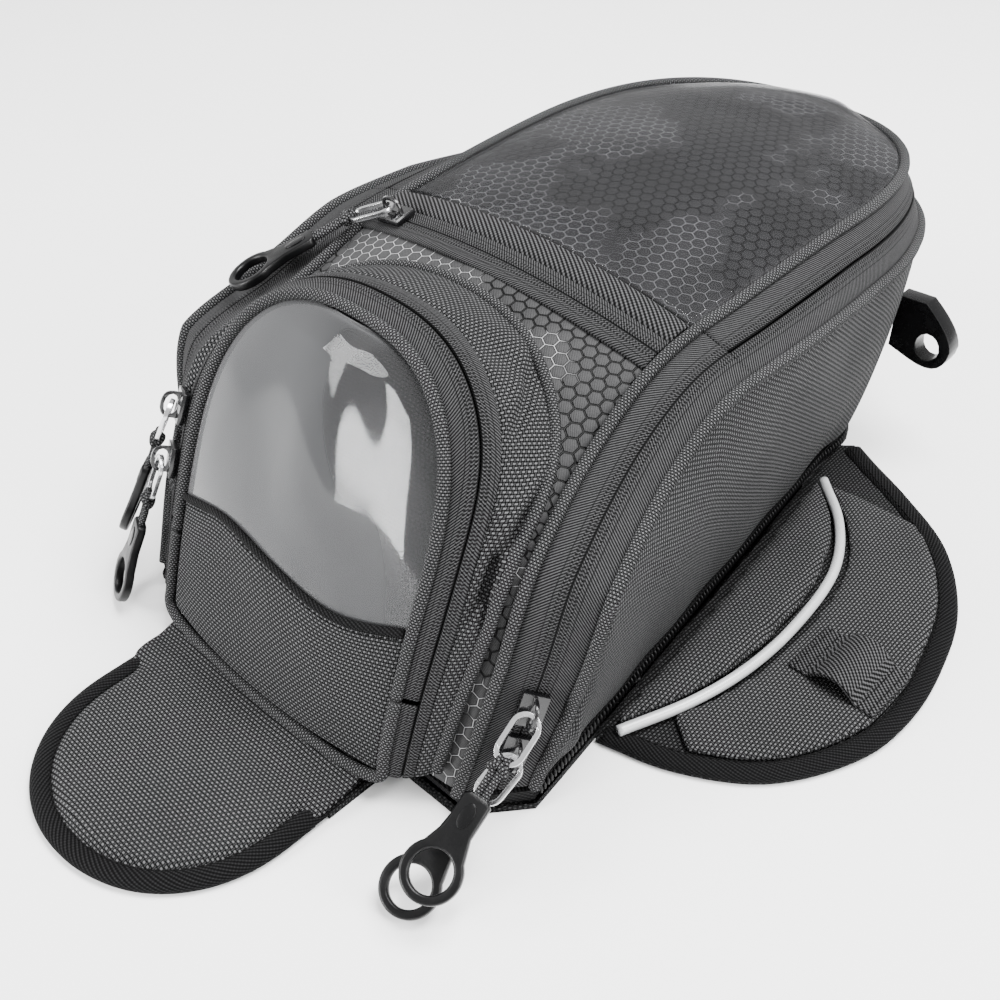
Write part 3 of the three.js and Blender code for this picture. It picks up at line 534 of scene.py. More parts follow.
def inflate(piece, voxel, pressure, cap):
    """Swells a pad as cloth under pressure, no further than cap millimetres."""
    remesh = piece.modifiers.new("even", "REMESH")
    remesh.mode = "VOXEL"
    remesh.voxel_size = voxel * MM
    settled(piece)
    start = np.zeros(len(piece.data.vertices) * 3)
    piece.data.vertices.foreach_get("co", start)
    cloth = piece.modifiers.new("swell", "CLOTH")
    cloth.settings.quality = 5
    cloth.settings.mass = 0.2
    cloth.settings.use_pressure = True
    cloth.settings.uniform_pressure_force = pressure
    cloth.settings.effector_weights.gravity = 0
    cloth.settings.tension_stiffness = 25
    cloth.settings.compression_stiffness = 25
    cloth.settings.bending_stiffness = 4
    cloth.collision_settings.use_collision = False
    cloth.point_cache.frame_start = 1
    cloth.point_cache.frame_end = 20
    for number in range(1, 21):
        bpy.context.scene.frame_set(number)
    settled(piece)
    bpy.context.scene.frame_set(1)
    swollen = np.zeros(len(start))
    piece.data.vertices.foreach_get("co", swollen)
    shift = (swollen - start).reshape(-1, 3)
    far = np.linalg.norm(shift, axis=1, keepdims=True)
    shift *= np.minimum(1, cap * MM / np.maximum(far, 1e-9))
    piece.data.vertices.foreach_set("co", (start.reshape(-1, 3) + shift).ravel())
    relax = piece.modifiers.new("relax", "SMOOTH")
    relax.factor = 0.5
    relax.iterations = 2
    finer = piece.modifiers.new("finer", "SUBSURF")
    finer.levels = 1
    finer.render_levels = 1
    settled(piece)
    piece.data.polygons.foreach_set("use_smooth", np.ones(len(piece.data.polygons), bool))
    return project_cloth(piece)


# ---- Shader maths ----

class Value:
    """A number in a shader tree that takes part in plain arithmetic."""

    def __init__(self, paint, socket):
        self.paint = paint
        self.socket = socket

    def math(self, operation, *others):
        inputs = {0: self.socket}
        for place, other in enumerate(others, 1):
            inputs[place] = other.socket if isinstance(other, Value) else other
        node = self.paint.node("ShaderNodeMath", {"operation": operation}, inputs)
        return Value(self.paint, node.outputs[0])

    def __add__(self, other):
        return self.math("ADD", other)

    __radd__ = __add__

    def __mul__(self, other):
        return self.math("MULTIPLY", other)

    __rmul__ = __mul__

    def __sub__(self, other):
        return self.math("SUBTRACT", other)

    def __rsub__(self, other):
        return (self * -1) + other

    def __truediv__(self, other):
        return self.math("DIVIDE", other)

    def __pow__(self, other):
        return self.math("POWER", other)

    def __mod__(self, other):
        return self.math("FLOORED_MODULO", other)

    def __abs__(self):
        return self.math("ABSOLUTE")

    def sine(self):
        return self.math("SINE")

    def least(self, other):
        return self.math("MINIMUM", other)

    def most(self, other):
        return self.math("MAXIMUM", other)

    def over(self, other):
        """1 where this is more than the other, else 0."""
        return self.math("GREATER_THAN", other)

    def fade(self, low, high):
        """0 at low, 1 at high, smooth between, also with low above high."""
        node = self.paint.node("ShaderNodeMapRange", {"interpolation_type": "SMOOTHSTEP"},
                               {0: self.socket, 1: low, 2: high, 3: 0.0, 4: 1.0})
        return Value(self.paint, node.outputs[0])


class Paint:
    """A material whose nodes are made one call at a time."""

    def __init__(self, name):
        self.material = bpy.data.materials.new(name)
        self.material.use_nodes = True
        self.tree = self.material.node_tree
        self.tree.nodes.clear()
        self.out = self.tree.nodes.new("ShaderNodeOutputMaterial")

    def node(self, kind, settings=None, inputs=None):
        made = self.tree.nodes.new(kind)
        for key, value in (settings or {}).items():
            setattr(made, key, value)
        for key, value in (inputs or {}).items():
            if isinstance(value, Value):
                value = value.socket
            if isinstance(value, bpy.types.NodeSocket):
                self.tree.links.new(value, made.inputs[key])
            else:
                made.inputs[key].default_value = value
        return made

    def cloth(self):
        """The piece's cloth map, in metres, as two numbers."""
        uv = self.node("ShaderNodeUVMap", {"uv_map": "cloth"})
        parts = self.node("ShaderNodeSeparateXYZ", None, {0: uv.outputs[0]})
        return Value(self, parts.outputs[0]), Value(self, parts.outputs[1])

    def place(self):
        """The point in the bag's own frame."""
        return self.node("ShaderNodeTexCoord").outputs["Object"]

    def noise(self, scale, detail=3.0):
        """Smooth noise fixed to the bag, 0 to 1."""
        made = self.node("ShaderNodeTexNoise", {"noise_dimensions": "3D"},
                         {"Vector": self.place(), "Scale": scale, "Detail": detail, "Roughness": 0.5})
        return Value(self, made.outputs[0])

    def shade(self, low, high, mask):
        """A colour between two, by a mask."""
        made = self.node("ShaderNodeMix", {"data_type": "RGBA"},
                         {0: mask, 6: (*low, 1), 7: (*high, 1)})
        return made.outputs[2]

    def bump(self, height, distance, strength=1.0):
        """A normal raised by a height, where a height of 1 stands distance millimetres proud."""
        inputs = {"Height": height, "Distance": distance * MM, "Strength": strength}
        return self.node("ShaderNodeBump", None, inputs).outputs[0]

    def surface(self, **sockets):
        """Ends the material in one Principled shader."""
        names = {"colour": "Base Color", "roughness": "Roughness", "metallic": "Metallic",
                 "normal": "Normal", "sheen": "Sheen Weight", "sheen_rough": "Sheen Roughness",
                 "specular": "Specular IOR Level", "coat": "Coat Weight", "coat_rough": "Coat Roughness"}
        shader = self.node("ShaderNodeBsdfPrincipled")
        for key, value in sockets.items():
            socket = shader.inputs[names[key]]
            value = value.socket if isinstance(value, Value) else value
            if isinstance(value, bpy.types.NodeSocket):
                self.tree.links.new(value, socket)
            elif key == "colour":
                socket.default_value = (*value, 1)
            else:
                socket.default_value = value
        self.tree.links.new(shader.outputs[0], self.out.inputs[0])
        return self.material


def weave(paint, x, y, pitch):
    """Height of a plain weave of round threads, 0 to 1, and which way the thread runs."""
    first = x * (2 * math.pi / (2 * pitch * MM))
    second = y * (2 * math.pi / (2 * pitch * MM))
    a = first.sine()
    b = second.sine()
    over = (a * b).fade(-0.15, 0.15)
    height = abs(a) ** 0.6 * over + abs(b) ** 0.6 * (1 - over)
    return height, over


def make_woven(name, dark, light, pitch, depth=0.35):
    """Matte nylon of coarse round threads, with painted highlights on the thread tops and painted shade
    between them.
    """
    paint = Paint(name)
    x, y = paint.cloth()
    drift = paint.noise(45.0, 2.0) * 0.0012
    height, over = weave(paint, (x + drift) * 0.7, y + drift, pitch)
    fine = paint.noise(1400.0, 2.0)
    broad = paint.noise(22.0, 3.0)
    # thread is painted light on the raised thread tops and dark in the gaps, and lighter on the threads that
    # run one way: painted highlight and painted shade. broad adds a random tone.
    thread = height.fade(0.42, 1.0) ** 2.2 * (0.3 + over * 0.7) * (0.5 + fine)
    tone = thread * (0.72 + broad * 0.5)
    colour = paint.shade(dark, light, tone)
    normal = paint.bump(height + fine * 0.25, depth)
    return paint.surface(colour=colour, roughness=0.78 + fine * 0.12, normal=normal,
                         sheen=0.005, sheen_rough=0.4, specular=0.04)


def make_twill(name, dark, light, pitch):
    """Dense tape with slanting ribs, painted lighter on their tops as a highlight and darker between them as
    shade.
    """
    paint = Paint(name)
    x, y = paint.cloth()
    slant = ((x * 0.7 + y) * (2 * math.pi / (pitch * MM))).sine()
    cross = ((x - y * 0.6) * (2 * math.pi / (pitch * 0.8 * MM))).sine()
    fine = paint.noise(1500.0, 2.0)
    height = slant.fade(-0.8, 0.8) * 0.7 + cross.fade(-0.8, 0.8) * 0.3
    # The rib tops are painted light and the hollows between them dark: painted highlight and painted shade.
    # fine adds a random tone.
    colour = paint.shade(dark, light, height ** 2.0 * (0.5 + fine * 0.9))
    return paint.surface(colour=colour, roughness=0.85, normal=paint.bump(height + fine * 0.3, 0.25),
                         sheen=0.012, sheen_rough=0.4, specular=0.06)


def make_honeycomb(name, dark, light, line, cell):
    """Ripstop nylon with raised threads in a honeycomb, with painted highlights on the threads and fine ribs
    and painted shade in the grooves.
    """
    paint = Paint(name)
    x, y = paint.cloth()
    px = y / (cell * MM)
    py = x / (cell * MM)
    tall = math.sqrt(3)

    def nearest(shift):
        ax = (px + 0.5 * shift) % 1.0 - 0.5
        ay = (py + 0.5 * tall * shift) % tall - 0.5 * tall
        return ax, ay

    ax, ay = nearest(0)
    bx, by = nearest(1)
    first = (ax * ax + ay * ay)
    second = (bx * bx + by * by)
    pick = second.over(first)
    gx = ax * pick + bx * (1 - pick)
    gy = ay * pick + by * (1 - pick)
    edge = 0.5 - (abs(gx) * 0.5 + abs(gy) * (0.5 * tall)).most(abs(gx))
    ridge = edge.fade(0.075, 0.02)
    fine = paint.noise(1300.0, 2.0)
    ribs = ((x + y) * (2 * math.pi / (0.8 * MM))).sine().fade(-0.9, 0.9)
    broad = paint.noise(16.0, 3.0).fade(0.35, 0.68)
    # The fine diagonal ribs are painted lighter, a painted highlight. fine and broad add a random tone.
    cells = paint.shade(dark, light, ribs * 0.35 + fine * 0.25 + broad * 0.25 + 0.25)
    # groove is painted shade: the cells turn to the dark colour next to the recessed honeycomb lines.
    groove = paint.node("ShaderNodeMix", {"data_type": "RGBA"},
                        {0: edge.fade(0.12, 0.05), 6: cells, 7: (*dark, 1)}).outputs[2]
    # lit is a painted highlight. The lines take the bright line colour where the broad mask is high, as
    # shiny threads that catch the light.
    lit = edge.fade(0.05, 0.015) * broad.fade(0.42, 0.62)
    colour = paint.node("ShaderNodeMix", {"data_type": "RGBA"},
                        {0: lit, 6: groove, 7: (*line, 1)}).outputs[2]
    normal = paint.bump(ridge * -0.7 + lit * 0.9 + ribs * 0.12 + edge.fade(0.0, 0.4) * 0.5, 0.45)
    return paint.surface(colour=colour, roughness=0.55 - ridge * 0.12, normal=normal,
                         sheen=0.01, sheen_rough=0.4, specular=0.12)


def make_zip_tape(name, dark, light):
    """Zip tape: stitch rows by the middle and a herringbone to each side, with painted highlights on the
    ribs and stitches and painted shade in the holes, slit and edge groove.
    """
    paint = Paint(name)
    x, y = paint.cloth()
    beside = abs(y)
    chevron = ((x + beside * 0.9) * (2 * math.pi / (1.15 * MM))).sine().fade(-0.8, 0.8)
    fine = paint.noise(1500.0, 2.0)
    stitch = (x * (2 * math.pi / (1.35 * MM))).sine().fade(-0.2, 0.6)

    def row(at, half):
        return abs(beside - at * MM).fade(half * MM, half * 0.4 * MM)

    rows = row(1.25, 0.55).most(row(2.75, 0.5))
    holes = rows * (1 - stitch)
    slit = beside.fade(0.55 * MM, 0.15 * MM)
    edge = row(4.6, 0.25)
    height = chevron * 0.35 + rows * stitch * 0.8 - holes * 0.6 - slit * 1.5 - edge * 0.5
    # tone paints the herringbone ribs and the raised stitches lighter: painted highlight.
    tone = (chevron ** 1.5 * 0.8 + 0.06 + rows * stitch * 0.4) * (0.5 + fine * 0.9)
    # shade is painted shade: darker in the stitch holes, in the slit between the halves and along the groove
    # by the tape's edge.
    shade = (1 - holes * 0.85) * (1 - slit * 0.95) * (1 - edge * 0.5)
    colour = paint.shade(dark, light, tone * shade)
    return paint.surface(colour=colour, roughness=0.82, normal=paint.bump(height, 0.5),
                         sheen=0.012, sheen_rough=0.4, specular=0.06)


def make_metal(name, colour, rough, wear, metallic=1.0, coat=0.0):
    """Plated or enamelled metal with fine scratches and worn patches."""
    paint = Paint(name)
    scratch = paint.noise(900.0, 2.0)
    patch = paint.noise(160.0, 4.0).fade(0.55, 0.8)
    tone = paint.shade(colour, wear, patch * 0.35)
    return paint.surface(colour=tone, roughness=rough + scratch * 0.12 + patch * 0.1, metallic=metallic,
                         normal=paint.bump(scratch, 0.02), coat=coat, coat_rough=0.1)


def make_moulded(name, colour, pale, rough, grain=0.06):
    """Moulded rubber or plastic with a fine grain and handling marks."""
    paint = Paint(name)
    grains = paint.noise(1800.0, 3.0)
    marks = paint.noise(70.0, 4.0).fade(0.5, 0.78)
    tone = paint.shade(colour, pale, marks * 0.5)
    return paint.surface(colour=tone, roughness=rough + grains * 0.15 + marks * 0.1,
                         normal=paint.bump(grains, grain), specular=0.2)


def make_vinyl(name, clear, gloss, haze, wave):
    """Clear flexible vinyl: see-through, glossy and slightly hazy, with soft waves and painted grey
    reflection swirls.
    """
    paint = Paint(name)
    waves = paint.noise(9.0, 0.0)
    small = paint.noise(24.0, 0.0)
    # A painted reflection: this swirl pattern mixes in more of the grey hazy layer, as grey reflection
    # swirls, on top of the layer's real gloss.
    reflection_swirl = ((waves * 40.0 + small * 9.0).sine()).fade(-0.2, 1.0)
    normal = paint.bump(waves + small * 0.3, wave, 0.6)
    shader = paint.node("ShaderNodeBsdfPrincipled", None, {
        "Base Color": (*haze, 1), "Roughness": 0.05, "Specular IOR Level": 0.7, "Normal": normal})
    through_it = paint.node("ShaderNodeBsdfTransparent", None, {0: (*clear, 1)})
    rim_light = paint.node("ShaderNodeFresnel", None, {"IOR": 1.45, "Normal": normal})
    amount = Value(paint, rim_light.outputs[0]) * gloss + reflection_swirl * 0.05 + 0.02
    mixed = paint.node("ShaderNodeMixShader", None,
                       {0: amount.least(0.95), 1: through_it.outputs[0], 2: shader.outputs[0]})
    paint.tree.links.new(mixed.outputs[0], paint.out.inputs[0])
    return paint.material


# ---- Rows of stitches and teeth ----

def row_tree():
    """Nodes that set a small rounded bead at even spaces along each line of a piece."""
    tree = bpy.data.node_groups.new("stitch row", "GeometryNodeTree")
    face = tree.interface
    face.new_socket("Lines", in_out="INPUT", socket_type="NodeSocketGeometry")
    face.new_socket("Spacing", in_out="INPUT", socket_type="NodeSocketFloat")
    face.new_socket("Bead size", in_out="INPUT", socket_type="NodeSocketVector")
    face.new_socket("Finish", in_out="INPUT", socket_type="NodeSocketMaterial")
    face.new_socket("Beads", in_out="OUTPUT", socket_type="NodeSocketGeometry")

    def node(kind, settings=None, inputs=None):
        made = tree.nodes.new(kind)
        for key, value in (settings or {}).items():
            setattr(made, key, value)
        for key, value in (inputs or {}).items():
            if isinstance(value, bpy.types.NodeSocket):
                tree.links.new(value, made.inputs[key])
            else:
                made.inputs[key].default_value = value
        return made

    start = node("NodeGroupInput")
    outward = node("GeometryNodeInputNamedAttribute", {"data_type": "FLOAT_VECTOR"}, {"Name": "outward"})
    line = node("GeometryNodeMeshToCurve", None, {"Mesh": start.outputs["Lines"]})
    even_line = node("GeometryNodeResampleCurve", {"mode": "LENGTH"},
                     {"Curve": line.outputs[0], "Length": start.outputs["Spacing"]})
    tangent = node("GeometryNodeInputTangent")
    along = node("FunctionNodeAlignRotationToVector", {"axis": "X"}, {"Vector": tangent.outputs[0]})
    facing = node("FunctionNodeAlignRotationToVector", {"axis": "Z", "pivot_axis": "X"},
                  {"Rotation": along.outputs[0], "Vector": outward.outputs[0]})
    bead = node("GeometryNodeMeshUVSphere", None, {"Segments": 8, "Rings": 5, "Radius": 0.5})
    placed = node("GeometryNodeInstanceOnPoints", None,
                  {"Points": even_line.outputs[0], "Instance": bead.outputs["Mesh"],
                   "Rotation": facing.outputs[0], "Scale": start.outputs["Bead size"]})
    real = node("GeometryNodeRealizeInstances", None, {0: placed.outputs[0]})
    painted = node("GeometryNodeSetMaterial", None,
                   {"Geometry": real.outputs[0], "Material": start.outputs["Finish"]})
    end = tree.nodes.new("NodeGroupOutput")
    tree.links.new(painted.outputs[0], end.inputs[0])
    return tree


def stitch_rows(name, rows, spacing, size, material, body):
    """Beads along rows of (points, outward directions), as one plain mesh."""
    points = []
    outward = []
    edges = []
    for line, out in rows:
        first = len(points)
        points += (np.asarray(line) * MM).tolist()
        outward += np.broadcast_to(out, np.shape(line)).tolist()
        edges += [(first + i, first + i + 1) for i in range(len(line) - 1)]
    data = bpy.data.meshes.new(name)
    data.from_pydata(points, edges, [])
    layer = data.attributes.new("outward", "FLOAT_VECTOR", "POINT")
    layer.data.foreach_set("vector", np.asarray(outward, np.float32).ravel())
    piece = new_object(name, data)
    tree = bpy.data.node_groups.get("stitch row") or row_tree()
    maker = piece.modifiers.new("row", "NODES")
    maker.node_group = tree
    sockets = {item.name: item.identifier for item in tree.interface.items_tree}
    maker[sockets["Spacing"]] = spacing * MM
    maker[sockets["Bead size"]] = tuple(s * MM for s in size)
    maker[sockets["Finish"]] = material
    settled(piece)
    piece.data.polygons.foreach_set("use_smooth", np.ones(len(piece.data.polygons), bool))
    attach(piece, body)
    return piece


# ---- What a user may change ----

class TankBagSettings(bpy.types.PropertyGroup):
    """Sizes and colours of the bag's cloth, zips and pads."""

    # Painted shade: the colour put in the gaps between the cloth's threads.
    cloth_gap_shade: bpy.props.FloatVectorProperty(
        name="Cloth gaps", description="Colour between the threads", size=3,
        subtype="COLOR", default=(0.0005, 0.0005, 0.00055), min=0, max=1)
    # Painted highlight: the colour put on the tops of the cloth's threads.
    cloth_thread_highlight: bpy.props.FloatVectorProperty(
        name="Cloth threads", description="Colour of the threads' tops", size=3,
        subtype="COLOR", default=(0.088, 0.0885, 0.0905), min=0, max=1)
    # Painted highlight: the colour of the honeycomb lines where they catch the light.
    ripstop_line_highlight: bpy.props.FloatVectorProperty(
        name="Ripstop lines", description="Colour of the raised honeycomb threads", size=3,
        subtype="COLOR", default=(0.3, 0.3, 0.305), min=0, max=1)
    weave_pitch: bpy.props.FloatProperty(
        name="Thread pitch", description="Distance between neighbouring threads",
        default=0.00095, unit="LENGTH", min=0.0003, max=0.003)
    cell: bpy.props.FloatProperty(
        name="Honeycomb cell", description="Width of a ripstop cell across its flats",
        default=0.0052, unit="LENGTH", min=0.002, max=0.02)
    stitch_pitch: bpy.props.FloatProperty(
        name="Stitch pitch", description="Distance between stitches on the bindings",
        default=0.0028, unit="LENGTH", min=0.001, max=0.01)
    tooth_pitch: bpy.props.FloatProperty(
        name="Tooth pitch", description="Distance between the teeth of the base zip",
        default=0.0021, unit="LENGTH", min=0.001, max=0.01)
    pad_pressure: bpy.props.FloatProperty(
        name="Pad pressure", description="How hard the pads of the flaps are filled",
        default=4.0, min=0.0, max=20.0)
    wrinkle: bpy.props.FloatProperty(
        name="Wrinkle depth", description="Depth of the folds in the phone pocket's wall",
        default=0.0042, unit="LENGTH", min=0.0, max=0.006)
    azimuth: bpy.props.FloatProperty(
        name="Camera azimuth", description="Direction of the camera round the bag",
        default=math.radians(43.74), subtype="ANGLE")
    elevation: bpy.props.FloatProperty(
        name="Camera elevation", description="Height of the camera above the horizon",
        default=math.radians(40.43), subtype="ANGLE")


FINISHES = {}


def settings():
    """The sizes and colours that a user may change."""
    return bpy.context.scene.tank_bag


def finish_named(name):
    """Makes each finish once and hands it out again."""
    if name in FINISHES:
        return FINISHES[name]
    s = settings()
    # dark is the painted shade between threads, and light is the painted highlight on thread tops.
    dark = tuple(s.cloth_gap_shade)
    light = tuple(s.cloth_thread_highlight)
    pitch = s.weave_pitch / MM
    makers = {
        "cloth": lambda: make_woven(name, dark, light, pitch),
        "base cloth": lambda: make_woven(name, dark, tuple(0.45 * c for c in light), pitch),
        "piping cloth": lambda: make_woven(name, dark, tuple(1.15 * c for c in light),
                                           pitch * 0.72, depth=0.4),
        "binding": lambda: make_twill(name, (0.0004, 0.0004, 0.0005), (0.011, 0.011, 0.0114), 1.6),
        "rib tape": lambda: make_twill(name, dark, (0.07, 0.07, 0.072), 1.7),
        "zip tape": lambda: make_zip_tape(name, (0.0005, 0.0005, 0.0006), (0.055, 0.055, 0.0565)),
        # The ripstop's line colour is its painted highlight.
        "ripstop": lambda: make_honeycomb(name, (0.0007, 0.0007, 0.0008), (0.042, 0.042, 0.043),
                                          tuple(s.ripstop_line_highlight), s.cell / MM),
        "thread": lambda: make_twill(name, (0.001, 0.001, 0.001), (0.01, 0.01, 0.0103), 0.5),
        "silver": lambda: make_metal(name, (0.42, 0.425, 0.43), 0.34, (0.6, 0.6, 0.6), 0.15, 0.2),
        "black enamel": lambda: make_metal(name, (0.004, 0.004, 0.0045), 0.2, (0.03, 0.03, 0.031), 0.3, 0.4),
        "nickel": lambda: make_metal(name, (0.62, 0.62, 0.63), 0.16, (0.4, 0.4, 0.4)),
        "magnet": lambda: make_metal(name, (0.35, 0.36, 0.37), 0.35, (0.2, 0.2, 0.2)),
        "rubber": lambda: make_moulded(name, (0.001, 0.001, 0.0012), (0.003, 0.003, 0.0033), 0.26),
        "hard plastic": lambda: make_moulded(name, (0.002, 0.002, 0.0022), (0.006, 0.006, 0.0063),
                                             0.17, 0.02),
        "teeth": lambda: make_moulded(name, (0.004, 0.004, 0.0043), (0.02, 0.02, 0.021), 0.35),
        "vinyl": lambda: make_vinyl(name, (0.88, 0.89, 0.9), 4.2, (0.1, 0.1, 0.102), 4.0),
        "map vinyl": lambda: make_vinyl(name, (0.94, 0.94, 0.95), 0.5, (0.01, 0.01, 0.0102), 2.0),
    }
    FINISHES[name] = makers[name]()
    return FINISHES[name]


def side_of(sign):
    """Mirrors points for the left-hand side."""
    return (lambda p: p) if sign > 0 else mirror_x


def tucked(run, span, width=2.4, drop=1.1):
    """How far cloth dips where its edges go under the pipings."""
    near = np.minimum(span - span.min(axis=1, keepdims=True), span.max(axis=1, keepdims=True) - span)
    return -drop * (1 - smooth(near, 0, width))


class TankBagOperator:
    """What the makers share: they finish, or raise an error."""

    bl_options = {"REGISTER", "UNDO"}

    def execute(self, context):
        self.make()
        return {"FINISHED"}


class TANKBAG_OT_walls(TankBagOperator, bpy.types.Operator):
    """Makes the base, the side and rear walls and the rear pipings"""

    bl_idname = "tank_bag.walls"
    bl_label = "Base and Walls"

    def make(self):
        self.base()
        for side, sign in SIDES:
            self.side(side, side_of(sign))
        self.rear()

    def base(self):
        for node, label, finish_name, slot in (
                ("base_plate", "base_skin", "base cloth", "fabric"),
                ("base_zip_band", "base_zip_tape", "binding", "zip_tape"),
                ("bag_floor", "floor_board", "base cloth", "fabric")):
            piece = smooth_shade(rounded(copy_of(node, label), 0.6))
            finish(project_cloth(piece), "bag", finish_named(finish_name), [node])

    def side(self, side, flip):
        start = 0.016

        def surface(a, b):
            u = start + (REAR_SEAM - start) * a
            return flip(wall(u, b, 1.2))

        def shape(a, b, run, span):
            height = span.max(axis=1, keepdims=True)
            sag = 0.5 * np.sin(a * 17 + b * 2.2) * np.sin(b * np.pi) + 0.35 * np.sin(a * 41 - b * 5)
            fold = 1.6 * np.exp(-((a - 0.1 - 0.05 * b) / 0.02) ** 2) * np.sin(np.clip(b * np.pi, 0, np.pi))
            return tucked(run, span) + (sag + fold) * np.minimum(1, height / 40) * smooth(b, 0.02, 0.2)

        piece = shell(f"side_wall_{side}", surface, 130, 34, 2.0, shape=shape)
        finish(piece, "bag", finish_named("cloth"), [f"side_panel_{side}"])
        v = steps(40, 0.0, 0.99)
        seam = flip(wall(np.full(40, REAR_SEAM), v, 1.2))
        line = tube(f"rear_trim_{side}", seam, 1.9, 12)
        finish(line, "bag", finish_named("silver"), [f"rear_piping_{side}"])

    def rear(self):
        @both_sides
        def place(w, v):
            return wall(w, v, 1.2)

        def surface(a, b):
            return place(REAR_SEAM + (2 - 2 * REAR_SEAM) * a, b)

        def shape(a, b, run, span):
            return tucked(run, span) + 0.5 * np.sin(a * 23) * np.sin(b * np.pi)

        piece = shell("rear_wall", surface, 60, 30, 2.0, shape=shape)
        finish(piece, "bag", finish_named("cloth"), ["rear_panel"])


def zip_profile(span, centre):
    """The low ridge that the coil makes under its tape, and the slit between its halves."""
    width = span.max(axis=1, keepdims=True)
    beside = np.abs(span - centre * width)
    return 0.7 * np.exp(-(beside / 3.2) ** 2) - 0.5 * np.exp(-(beside / 0.6) ** 2)


class TANKBAG_OT_zip_band(TankBagOperator, bpy.types.Operator):
    """Makes the main zip band with the pipings above and below it"""

    bl_idname = "tank_bag.zip_band"
    bl_label = "Main Zip Band"

    def make(self):
        edge = 1.3 / GUSSET
        gap = 0.35 / GUSSET
        tape = finish_named("zip tape")
        for side, sign in SIDES:
            flip = side_of(sign)

            def front(a, b, flip=flip):
                return flip(gusset(0.004 + (LID_FOLD - 0.001) * a, edge + (1 - 2 * edge) * b))

            def shape(a, b, run, span):
                return tucked(run, span, 2.0, 0.9) + zip_profile(span, 0.5)

            piece = shell(f"zip_leg_{side}", front, 110, 40, 1.4, shape=shape)
            nodes = ["gusset_tape"] if sign > 0 else []
            finish(piece, "bag", tape, nodes)
            line = flip(top(steps(120, 0.0, LID_FOLD)))
            piece = tube(f"front_trim_{side}", line, PIPING, 12)
            finish(piece, "bag", finish_named("piping cloth"), [f"front_piping_{side}"])
        start = LID_FOLD + 0.003
        place = both_sides(gusset)

        def lower(a, b):
            return place(start + (2 - 2 * start) * a, 0.5 + gap + (0.5 - gap - edge) * b)

        def upper(a, b):
            return place(start + 0.0012 + (2 - 2 * start - 0.0024) * a, edge + (0.5 - gap - edge) * b)

        def low_shape(a, b, run, span):
            return -0.9 * smooth(b, 0.85, 1) + zip_profile(span, 0.0)

        def high_shape(a, b, run, span):
            return -0.9 * (1 - smooth(b, 0, 0.15)) + zip_profile(span, 1.0)

        piece = shell("zip_rear_lower", lower, 170, 20, 1.4, shape=low_shape, centre=0.0)
        finish(piece, "bag", tape, [])
        piece = shell("zip_rear_upper", upper, 170, 20, 1.4, shape=high_shape, centre=1.0)
        finish(piece, "lid", tape, ["lid_gusset_tape"])
        rim_line = both_sides(top)(steps(300, LID_FOLD + 0.002, 2 - LID_FOLD - 0.002))
        piece = tube("lid_trim", rim_line, PIPING, 12)
        finish(piece, "lid", finish_named("piping cloth"), ["lid_piping"])
        low_line = both_sides(lambda u: gusset(u, 1 + 0 * u))(steps(460, 0.002, 1.998))
        piece = tube("lower_trim", low_line, PIPING, 12)
        finish(piece, "bag", finish_named("piping cloth"), ["lower_piping"])


class TANKBAG_OT_top(TankBagOperator, bpy.types.Operator):
    """Makes the front panel, the lid with its clear map window, and the map zip"""

    bl_idname = "tank_bag.top"
    bl_label = "Top Panels and Map Pocket"

    def make(self):
        ripstop = finish_named("ripstop")

        def front(a, b):
            return crowned(0.004 + (LID_FOLD - 0.005) * a, 2 * b - 1, 0.0, 1.2)

        def soft(a, b, run, span):
            dents = 0.7 * np.sin(a * 9 + 1.2 * np.sin(b * 7)) * np.sin(b * 11 + 2 * a)
            return tucked(run, span) + dents * np.sin(b * np.pi)

        piece = shell("front_top", front, 90, 80, 2.0, shape=soft)
        finish(piece, "bag", ripstop, ["front_panel"])
        start = LID_FOLD + 0.002

        def lid(a, b):
            return crowned(start + (0.992 - start) * a, 2 * b - 1, 0.0, 1.2)

        piece = shell("lid_top", lid, 110, 70, 2.0, shape=soft)
        finish(piece, "lid", ripstop, ["lid_panel"])

        def window(a, b):
            return crowned(start + (0.988 - start) * a, (2 * b - 1) * 0.985, 0.9, 1.2)

        def slack(a, b, run, span):
            middle = np.sin(b * np.pi) * smooth(a, 0, 0.1) * (1 - smooth(a, 0.9, 1))
            waves = np.sin(a * 8 + 2.0 * np.sin(b * 4)) * 0.7 + np.sin(a * 15 - b * 9) * 0.35
            return (1.3 + waves) * middle

        piece = shell("map_cover", window, 100, 60, 0.6, shape=slack)
        finish(piece, "lid", finish_named("map vinyl"), ["map_window"])
        self.strip("map_zip", 0.398, 0.4305, "zip tape", "zip_tape", ["map_zip_tape"],
                   lambda span: 0.4 + zip_profile(span, 0.5))

        def rounded_rise(span):
            share = np.clip(span / span.max(axis=1, keepdims=True), 0, 1)
            return 0.4 + 1.1 * np.sin(share * np.pi)

        self.strip("map_hem", 0.4295, LID_FOLD - 0.002, "rib tape", "zip_tape", ["map_binding"],
                   rounded_rise)

    def strip(self, name, low, high, finish_name, slot, nodes, rise):
        def surface(a, b):
            return crowned(low + (high - low) * b, (2 * a - 1) * 0.99, 1.3, 1.2)

        def shape(a, b, run, span):
            return rise(span) - 0.8 * (1 - smooth(np.minimum(b, 1 - b), 0, 0.12))

        piece = shell(name, surface, 90, 22, 1.2, shape=shape)
        finish(piece, "bag", finish_named(finish_name), nodes)


HEM = [(-60, 50), (-30, 57), (0, 54), (30, 51), (60, 60)]


def hem_height(x):
    """Height up the cover of the line between the cloth and the clear window."""
    fine = through([(px, pz) for px, pz in HEM], 12)
    return np.interp(x, fine[:, 0], fine[:, 1])


